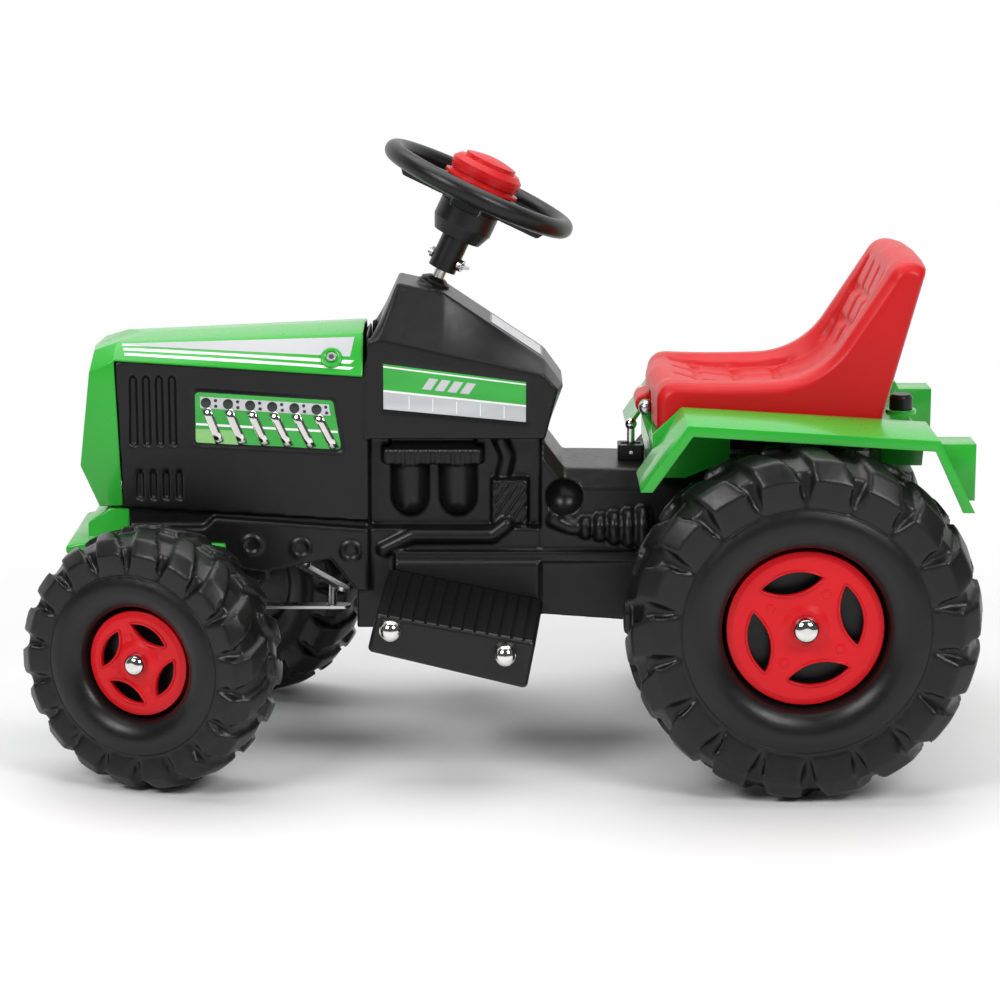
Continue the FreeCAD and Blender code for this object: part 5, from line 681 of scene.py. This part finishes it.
class Wheel:
    """One wheel's centre and directions at rest, with the skins of its disc and tyre."""

    def __init__(self, end, side):
        joint = joint_of["%s_wheel_%s_spin" % (end, side)]
        axis = Vector(joint["axis"]).normalized()
        self.name = "%s_%s" % (end, side)
        self.disc = "%s_disc_%s" % (end, side)
        self.centre = Vector(joint["pos_m"])
        self.out = axis if side == "left" else -axis
        self.up = Vector((0, 0, 1))
        self.across = self.up.cross(self.out)
        self.tyre_radius, self.disc_radius = WHEEL_RADII[end]
        source = frame["nodes"][self.disc]
        corners = [source.matrix_world @ vert.co for vert in source.data.vertices]
        faces = [tuple(face.vertices) for face in source.data.polygons]
        self.disc_skin = BVHTree.FromPolygons(corners, faces)
        self.tyre_skin = surface(bpy.data.objects["%s_tyre_%s_moulded" % (end, side)])

    def way(self, angle):
        """The direction of an angle about the axle."""
        return self.across * math.cos(angle) + self.up * math.sin(angle)

    def at(self, radius, angle):
        return self.centre + self.way(angle) * radius

    def land(self, skin, place):
        """Where a line along the axle through a place meets a skin from outside."""
        return skin.ray_cast(place + self.out * OUTSIDE, -self.out)[0]

    def on_disc(self, place):
        return self.land(self.disc_skin, place)

    def slots(self):
        """The middle angles of the slots, found as gaps on a circle through them."""
        steps = SLOT_SEARCH_STEPS
        radius = self.disc_radius * SLOT_RADIUS_SHARE
        shut = [self.on_disc(self.at(radius, angle)) is not None for angle in full_turn(steps)]
        starts = [i for i in range(steps) if shut[i - 1] and not shut[i]]
        middles = []
        for start in starts:
            length = next(k for k in range(1, steps) if shut[(start + k) % steps])
            middles.append(2 * math.pi * (start + length / 2) / steps)
        return middles

    def slot_edge(self, middle):
        """The outline of one slot, widened a little, on the disc's face."""
        centre = self.at(self.disc_radius * SLOT_RADIUS_SHARE, middle)
        path = []
        for angle in full_turn(LIP_STEPS):
            way = self.way(angle)
            reaches = (k * LIP_STRIDE for k in LIP_STRIDES)
            edge = next((reach for reach in reaches if self.on_disc(centre + way * reach) is not None), None)
            landed = None if edge is None else self.on_disc(centre + way * (edge + LIP_OFFSET))
            if landed is not None:
                path.append(landed)
        return path


def bead(work, path, out, radius):
    """A round bead along a closed path."""
    count = len(path)
    rings = []
    for i in range(count):
        run = (path[(i + 1) % count] - path[i - 1]).normalized()
        aside = run.cross(out).normalized()
        lift = aside.cross(run)
        ways = [aside * math.cos(angle) + lift * math.sin(angle) for angle in full_turn(BEAD_SIDES)]
        rings.append([work.verts.new(path[i] + way * radius) for way in ways])
    for i in range(count):
        low, high = rings[i], rings[(i + 1) % count]
        for k in range(BEAD_SIDES):
            work.faces.new((low[k], low[k - 1], high[k - 1], high[k]))


def disc_mark(work, wheel, angle):
    """A flat six-sided mark on the disc's face."""
    landed = wheel.on_disc(wheel.at(wheel.disc_radius * MARK_RADIUS_SHARE, angle))
    rings = []
    for radius, height in MARK_PROFILE:
        middle = landed + wheel.out * height
        rings.append([work.verts.new(middle + wheel.way(turn) * radius) for turn in full_turn(MARK_SIDES)])
    close_rings(work, rings)


def wheel_trim(end, side):
    wheel = Wheel(end, side)
    lips, marks, line = bmesh.new(), bmesh.new(), bmesh.new()
    middles = wheel.slots()
    for middle in middles:
        bead(lips, wheel.slot_edge(middle), wheel.out, LIP_RADIUS)
        disc_mark(marks, wheel, middle + math.pi / len(middles))
    around = [wheel.at(wheel.tyre_radius * WALL_LINE_SHARE, angle) for angle in full_turn(WALL_LINE_STEPS)]
    bead(line, [wheel.land(wheel.tyre_skin, place) for place in around], wheel.out, WALL_LINE_RADIUS)
    # The lips and marks take the discs' red copy, with its painted shade.
    finished("slot_lips_" + wheel.name, lips, MATERIALS["disc_shade_red"], wheel.disc)
    finished("disc_marks_" + wheel.name, marks, MATERIALS["disc_shade_red"], wheel.disc)
    finished("wall_line_" + wheel.name, line, MATERIALS["tyre_plastic"], wheel.disc)


# Filter box: slanted bars that the softened hull would lose

FILTER_FRONT, FILTER_REAR = -0.006, 0.025
FILTER_LOW, FILTER_TOP = 0.2325, 0.2715
FILTER_FACE = -0.0598
FILTER_BARS = 6
FILTER_LEAN = 0.026
BAR_HALF = 0.0017
BAR_RISE = 0.0016
BAR_SINK = 0.0012
BAR_STEPS = 8
BAR_END_POWER = 8
BAR_END_LEAST = 0.02
BAR_CROWN_POWER = 0.6


def filter_bar(work, start, end, sign):
    """One half-round bar between two places of the filter's face, with rounded ends."""
    start, end = Vector(start), Vector(end)
    run = (end - start).normalized()
    across = Vector((-run.y, run.x))
    rings = []
    for step in range(BAR_STEPS + 1):
        along = step / BAR_STEPS
        swell = math.sqrt(max(1.0 - (2.0 * along - 1.0) ** BAR_END_POWER, BAR_END_LEAST))
        middle = start.lerp(end, along)
        ring = []
        for angle in half_turn(BAR_STEPS):
            place = middle + across * (BAR_HALF * swell * math.cos(angle))
            crown = math.sin(angle) ** BAR_CROWN_POWER
            depth = FILTER_FACE + BAR_SINK - (BAR_RISE * swell + BAR_SINK) * crown
            ring.append(work.verts.new((place.x, -sign * depth, place.y)))
        rings.append(ring)
    close_rings(work, rings)


def filter_bars():
    """Slanted bars on the filter box, both sides alike."""
    work = bmesh.new()
    width = FILTER_REAR - FILTER_FRONT
    for sign in (-1, 1):
        for i in range(FILTER_BARS):
            offset = (i + 0.5) / FILTER_BARS * (width + FILTER_LEAN) - FILTER_LEAN
            low_x, high_x = FILTER_FRONT + offset, FILTER_FRONT + offset + FILTER_LEAN
            low_z, high_z = FILTER_LOW, FILTER_TOP
            rise = (high_z - low_z) / FILTER_LEAN
            if low_x < FILTER_FRONT:
                low_z, low_x = low_z + (FILTER_FRONT - low_x) * rise, FILTER_FRONT
            if high_x > FILTER_REAR:
                high_z, high_x = high_z - (high_x - FILTER_REAR) * rise, FILTER_REAR
            filter_bar(work, (low_x, low_z), (high_x, high_z), sign)
    finished("filter_bars", work, MATERIALS["black_plastic"], "main_body")


# Foils and printed plates

FOIL = 0.0002
FOIL_LIFT = 0.00025
INWARD = Vector((0, 1, 0))
DOWNWARD = Vector((0, 0, -1))
CAST_FROM = -0.12
PLATE_EDGE_SEGMENTS = 2
PLATE_EDGE_ANGLE = 30.0


def draped(name, tree, corners, cast, paint, lift, cells):
    """A thin foil between four corners, laid on the skin that lies along the cast direction."""
    work = bmesh.new()
    first, second, third, fourth = (Vector(corner) for corner in corners)
    grid = []
    for i in range(cells[0] + 1):
        row = []
        for j in range(cells[1] + 1):
            s, t = i / cells[0], j / cells[1]
            start = first.lerp(second, s).lerp(fourth.lerp(third, s), t)
            hit = tree.ray_cast(start, cast)[0]
            row.append(work.verts.new((hit if hit else start) - cast * lift))
        grid.append(row)
    for i in range(cells[0]):
        for j in range(cells[1]):
            work.faces.new((grid[i][j], grid[i + 1][j], grid[i + 1][j + 1], grid[i][j + 1]))
    bmesh.ops.recalc_face_normals(work, faces=work.faces)
    if work.faces[0].normal.dot(cast) > 0:
        bmesh.ops.reverse_faces(work, faces=work.faces)
    obj = piece(name, work, PRINTS[paint])
    thicken(obj, FOIL)
    bake(obj)
    shade(obj)
    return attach(obj, "chassis")


def flat_shape(work, outline, y, thickness):
    """Adds a thin plate with that outline to a mesh."""
    face = work.faces.new([work.verts.new((x, y, z)) for x, z in outline])
    made = bmesh.ops.extrude_face_region(work, geom=[face])
    moved = [item for item in made["geom"] if isinstance(item, bmesh.types.BMVert)]
    bmesh.ops.translate(work, verts=moved, vec=(0, -thickness, 0))


def plate(name, outlines, y, thickness, paint, soften=0.0):
    """Thin upright plates of one print, as one piece."""
    work = bmesh.new()
    for outline in outlines:
        flat_shape(work, outline, y, thickness)
    bmesh.ops.recalc_face_normals(work, faces=work.faces)
    obj = piece(name, work, PRINTS[paint])
    if soften:
        break_edges(obj, soften, PLATE_EDGE_SEGMENTS, PLATE_EDGE_ANGLE)
        bake(obj)
        shade(obj)
    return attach(obj, "chassis")


def between(corners, s, t):
    """A place in a four-cornered field: s along it from the front, t from its foot to its top."""
    (ax, az), (bx, bz), (cx, cz), (dx, dz) = corners
    top_x, top_z = ax + (bx - ax) * s, az + (bz - az) * s
    low_x, low_z = dx + (cx - dx) * s, dz + (cz - dz) * s
    return (low_x + (top_x - low_x) * t, low_z + (top_z - low_z) * t)


def field(corners, s0, s1, t0, t1):
    return [between(corners, s0, t1), between(corners, s1, t1), between(corners, s1, t0), between(corners, s0, t0)]


# Stripes on the bonnet: name, print, front end, rear end, and the strip's shares that they cover at both ends

STRIPES = [
    ("stripe_silver", "silver", -0.368, -0.1415, (0.80, 0.92), (0.44, 0.90)),
    ("stripe_upper", "white", -0.366, -0.1415, (0.56, 0.68), (0.27, 0.35)),
    ("stripe_lower", "white", -0.364, -0.1415, (0.30, 0.42), (0.13, 0.19)),
]
STRIPE_CELLS = (60, 4)
STRIPE_SLANT = 0.004


def bonnet_stripes():
    """A silver wedge and two white lines that run together towards the nose."""
    tree = surface(bonnet)
    for name, paint, front, rear, at_front, at_rear in STRIPES:
        corners = [
            (front, CAST_FROM, strip_place(front, at_front[1]).z),
            (rear, CAST_FROM, strip_place(rear, at_rear[1]).z),
            (rear - STRIPE_SLANT, CAST_FROM, strip_place(rear, at_rear[0]).z),
            (front, CAST_FROM, strip_place(front, at_front[0]).z),
        ]
        draped(name, tree, corners, INWARD, paint, FOIL_LIFT, STRIPE_CELLS)


# Motor window: plates are name, print, field, depth behind the floor, thickness and edge

WINDOW = ((-0.300, 0.366), (-0.159, 0.357), (-0.150, 0.301), (-0.300, 0.309))
WINDOW_FLOOR = -0.0630
WINDOW_EDGE = 0.0003
WINDOW_PLATES = [
    ("window_field", "green", (0.025, 0.975, 0.06, 0.94), 0.0006, 0.0007, 0.0),
    ("window_glow", "lime", (0.025, 0.30, 0.06, 0.30), 0.0006, 0.0008, 0.0),
    ("window_head", "grey", (0.06, 0.94, 0.66, 0.86), 0.0004, 0.0008, WINDOW_EDGE),
    ("window_rail", "white", (0.03, 0.97, 0.36, 0.40), 0.0004, 0.0008, 0.0),
]
TUBES = 6
TUBE_FIRST, TUBE_STEP = 0.10, 0.150
TUBE_PATH_SHARES = ((0.00, 0.66), (0.020, 0.52), (0.040, 0.38), (0.060, 0.24), (0.083, 0.08))
TUBE_HALF = 0.0042
TUBE_RISE = 0.0017
TUBE_LIFT = 0.0001
TUBE_SLANT_SHARE = 0.4
TUBE_STEPS = 8
BOLT_SIDES = 20
BOLT_HEIGHT_SHARE, BOLT_RADIUS = 0.76, 0.0050
STUD_SHIFT, STUD_HEIGHT_SHARES, STUD_RADIUS = 0.066, (0.71, 0.81), 0.0016
BOLT_RISE = 0.0010


def bolt(s, t, radius):
    """The outline of a round head in the window's field."""
    x, z = between(WINDOW, s, t)
    return [(x + radius * math.cos(angle), z + radius * math.sin(angle)) for angle in full_turn(BOLT_SIDES)]


def tube(work, s):
    """One slanted tube of the made-up motor, half sunk in the field."""
    rings = []
    for shift, t in TUBE_PATH_SHARES:
        x, z = between(WINDOW, s + shift, t)
        ring = []
        for angle in half_turn(TUBE_STEPS):
            depth = WINDOW_FLOOR - TUBE_LIFT - TUBE_RISE * math.sin(angle)
            slant = TUBE_SLANT_SHARE * TUBE_HALF * math.cos(angle)
            ring.append(work.verts.new((x + TUBE_HALF * math.cos(angle), depth, z + slant)))
        rings.append(ring)
    close_rings(work, rings)


def window_print():
    """A made-up motor behind the panel: head with bolts, slanted tubes and a rail on a green field."""
    for name, paint, shares, behind, thickness, soften in WINDOW_PLATES:
        plate(name, [field(WINDOW, *shares)], WINDOW_FLOOR + behind, thickness, paint, soften)
    bolts = []
    work = bmesh.new()
    for i in range(TUBES):
        s = TUBE_FIRST + TUBE_STEP * i
        tube(work, s)
        bolts.append(bolt(s, BOLT_HEIGHT_SHARE, BOLT_RADIUS))
        bolts += [bolt(s + STUD_SHIFT, t, STUD_RADIUS) for t in STUD_HEIGHT_SHARES]
    bmesh.ops.recalc_face_normals(work, faces=work.faces)
    obj = piece("window_tubes", work, MATERIALS["chrome"])
    smooth(obj.data)
    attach(obj, "chassis")
    plate("window_bolts", bolts, WINDOW_FLOOR, BOLT_RISE, "ink", WINDOW_EDGE)


# Side badge: bands across its field, slashes and ticks along it, all in shares of the field

BADGE = ((-0.116, 0.393), (0.028, 0.374), (0.028, 0.330), (-0.116, 0.343))
BADGE_FLOOR = -0.0658
BAND_BEHIND, BAND_THICKNESS = 0.0004, 0.0007
PRINT_BEHIND, PRINT_THICKNESS = 0.0002, 0.0008
BADGE_ENDS = (0.02, 0.98)
GREEN_BAND, GREY_BAND = (0.40, 0.95), (0.06, 0.40)
LINE_BANDS = ((0.40, 0.44), (0.88, 0.91))
SLASHES = 4
SLASH_FIRST, SLASH_STEP, SLASH_WIDTH = 0.30, 0.085, 0.06
SLASH_TOP, SLASH_TOP_SHIFT = 0.78, 0.03
SLASH_FOOT, SLASH_FOOT_SHIFT = 0.54, -0.02
TICKS = (0.19, 0.35, 0.51, 0.67, 0.83)
TICK_WIDTH, TICK_BAND = 0.006, (0.10, 0.36)


def slash(low, high):
    """The outline of one slanted bar between two shares of the badge's length."""
    top_low, top_high = low + SLASH_TOP_SHIFT, high + SLASH_TOP_SHIFT
    foot_low, foot_high = low + SLASH_FOOT_SHIFT, high + SLASH_FOOT_SHIFT
    return [between(BADGE, top_low, SLASH_TOP), between(BADGE, top_high, SLASH_TOP),
            between(BADGE, foot_high, SLASH_FOOT), between(BADGE, foot_low, SLASH_FOOT)]


def badge_print():
    """A plain two-band plate: green with slanted bars and light lines over grey with ticks."""
    back, front = BADGE_FLOOR + BAND_BEHIND, BADGE_FLOOR + PRINT_BEHIND
    plate("badge_green", [field(BADGE, *BADGE_ENDS, *GREEN_BAND)], back, BAND_THICKNESS, "green")
    plate("badge_grey", [field(BADGE, *BADGE_ENDS, *GREY_BAND)], back, BAND_THICKNESS, "grey")
    lines = [field(BADGE, *BADGE_ENDS, *band) for band in LINE_BANDS]
    plate("badge_line", lines, front, BAND_THICKNESS, "white")
    starts = [SLASH_FIRST + SLASH_STEP * i for i in range(SLASHES)]
    plate("badge_bars", [slash(s, s + SLASH_WIDTH) for s in starts], front, PRINT_THICKNESS, "silver")
    ticks = [field(BADGE, s, s + TICK_WIDTH, *TICK_BAND) for s in TICKS]
    plate("badge_ticks", ticks, front, PRINT_THICKNESS, "white")


# Dash plate: front, rear and half width of its frame and its face, each with its lift

DASH_CAST_FROM = 0.6
DASH_CELLS = (16, 12)
DASH_PATCHES = [
    ("dash_frame", "ink", -0.010, 0.042, 0.029, 0.0003),
    ("dash_plate", "grey", -0.008, 0.040, 0.027, 0.0006),
]


def dash_plate():
    """A bare pale plate with a frame on the slope behind the column."""
    tree = surface(bpy.data.objects["main_body_moulded"])
    for name, paint, front, rear, half, lift in DASH_PATCHES:
        outline = ((front, -half), (rear, -half), (rear, half), (front, half))
        corners = [(x, y, DASH_CAST_FROM) for x, y in outline]
        draped(name, tree, corners, DOWNWARD, paint, lift, DASH_CELLS)


for end in ("rear", "front"):
    for side in ("left", "right"):
        wheel_trim(end, side)
filter_bars()
on_screws("screw_bosses", BOSS_PROFILE, BOSS_SIDES, "green_plastic", "bonnet")
# Dark caps on the screw heads: painted shade for the sockets.
on_screws("screw_socket_shade", SOCKET_SHADE_PROFILE, SOCKET_SHADE_SIDES, "battery_case", "bonnet_screws")
bonnet_stripes()
window_print()
badge_print()
dash_plate()


# Stage: white floor that keeps a soft shadow near the tractor, lights and camera

FLOOR_SIZE = 40.0
FLOOR_GREY = (0.80, 0.80, 0.80, 1)
FLOOR_ROUGHNESS = 0.6
SHADOW_INNER, SHADOW_OUTER = 0.45, 1.25
WHITE = (1, 1, 1, 1)
ROOM_DARK, ROOM_BRIGHT = 0.08, 1.0
BACKDROP_FROM, BACKDROP_TO = -0.15, 0.55
SOFTBOXES = [
    # name, location, aim, width, height, watts
    ("overhead", (0.0, 0.2, 2.3), (0.0, 0.0, 0.2), 2.4, 1.8, 37.0),
    ("front_left", (-1.7, -2.2, 2.3), (-0.1, 0.0, 0.25), 1.2, 1.2, 57.0),
    ("front_right", (1.6, -2.2, 2.2), (0.1, 0.0, 0.25), 1.1, 1.1, 52.0),
]
CAMERA_LENS, CAMERA_SENSOR = 108.0, 36.0
CAMERA_PLACE = (0.0, -2.93303, 0.8649)
CAMERA_LOOKS_DOWN = 12.0


def stage():
    """A grey floor that turns into pure white away from the tractor."""
    bpy.ops.mesh.primitive_plane_add(size=FLOOR_SIZE, location=(0, 0, 0))
    floor = bpy.context.object
    floor.name = "floor"
    material, nodes, links, shader = tree_of("floor")
    shader.inputs["Base Color"].default_value = FLOOR_GREY
    shader.inputs["Roughness"].default_value = FLOOR_ROUGHNESS
    place = nodes.new("ShaderNodeTexCoord").outputs["Object"]
    distance = nodes.new("ShaderNodeVectorMath")
    distance.operation = "LENGTH"
    links.new(place, distance.inputs[0])
    reach = nodes.new("ShaderNodeMapRange")
    reach.interpolation_type = "SMOOTHSTEP"
    reach.inputs["From Min"].default_value = SHADOW_INNER
    reach.inputs["From Max"].default_value = SHADOW_OUTER
    links.new(distance.outputs["Value"], reach.inputs["Value"])
    white = nodes.new("ShaderNodeEmission")
    white.inputs["Color"].default_value = WHITE
    white.inputs["Strength"].default_value = 1.0
    mix = nodes.new("ShaderNodeMixShader")
    links.new(reach.outputs["Result"], mix.inputs["Fac"])
    links.new(shader.outputs["BSDF"], mix.inputs[1])
    links.new(white.outputs["Emission"], mix.inputs[2])
    links.new(mix.outputs["Shader"], nodes["Material Output"].inputs["Surface"])
    floor.data.materials.append(material)


def softbox(name, location, aim, width, height, power):
    light = bpy.data.lights.new(name, "AREA")
    light.shape = "RECTANGLE"
    light.size = width
    light.size_y = height
    light.energy = power
    obj = bpy.data.objects.new(name, light)
    obj.location = location
    obj.rotation_euler = (Vector(aim) - Vector(location)).to_track_quat("-Z", "Y").to_euler()
    scene.collection.objects.link(obj)


def lighting():
    """A white backdrop behind, a dark room in front, and large softboxes above and beside the camera."""
    world = bpy.data.worlds.new("studio")
    scene.world = world
    world.use_nodes = True
    nodes, links = world.node_tree.nodes, world.node_tree.links
    room = nodes["Background"]
    room.inputs["Color"].default_value = WHITE
    direction = nodes.new("ShaderNodeSeparateXYZ")
    links.new(nodes.new("ShaderNodeTexCoord").outputs["Generated"], direction.inputs["Vector"])
    depth = nodes.new("ShaderNodeMapRange")
    depth.interpolation_type = "SMOOTHSTEP"
    depth.inputs["From Min"].default_value = BACKDROP_FROM
    depth.inputs["From Max"].default_value = BACKDROP_TO
    depth.inputs["To Min"].default_value = ROOM_DARK
    depth.inputs["To Max"].default_value = ROOM_BRIGHT
    links.new(direction.outputs["Y"], depth.inputs["Value"])
    links.new(depth.outputs["Result"], room.inputs["Strength"])
    for box in SOFTBOXES:
        softbox(*box)


def camera():
    data = bpy.data.cameras.new("camera")
    data.lens = CAMERA_LENS
    data.sensor_width = CAMERA_SENSOR
    obj = bpy.data.objects.new("camera", data)
    obj.location = CAMERA_PLACE
    obj.rotation_euler = (math.radians(90.0 - CAMERA_LOOKS_DOWN), 0.0, 0.0)
    scene.collection.objects.link(obj)
    scene.camera = obj


stage()
lighting()
camera()
scene.view_settings.view_transform = "Standard"
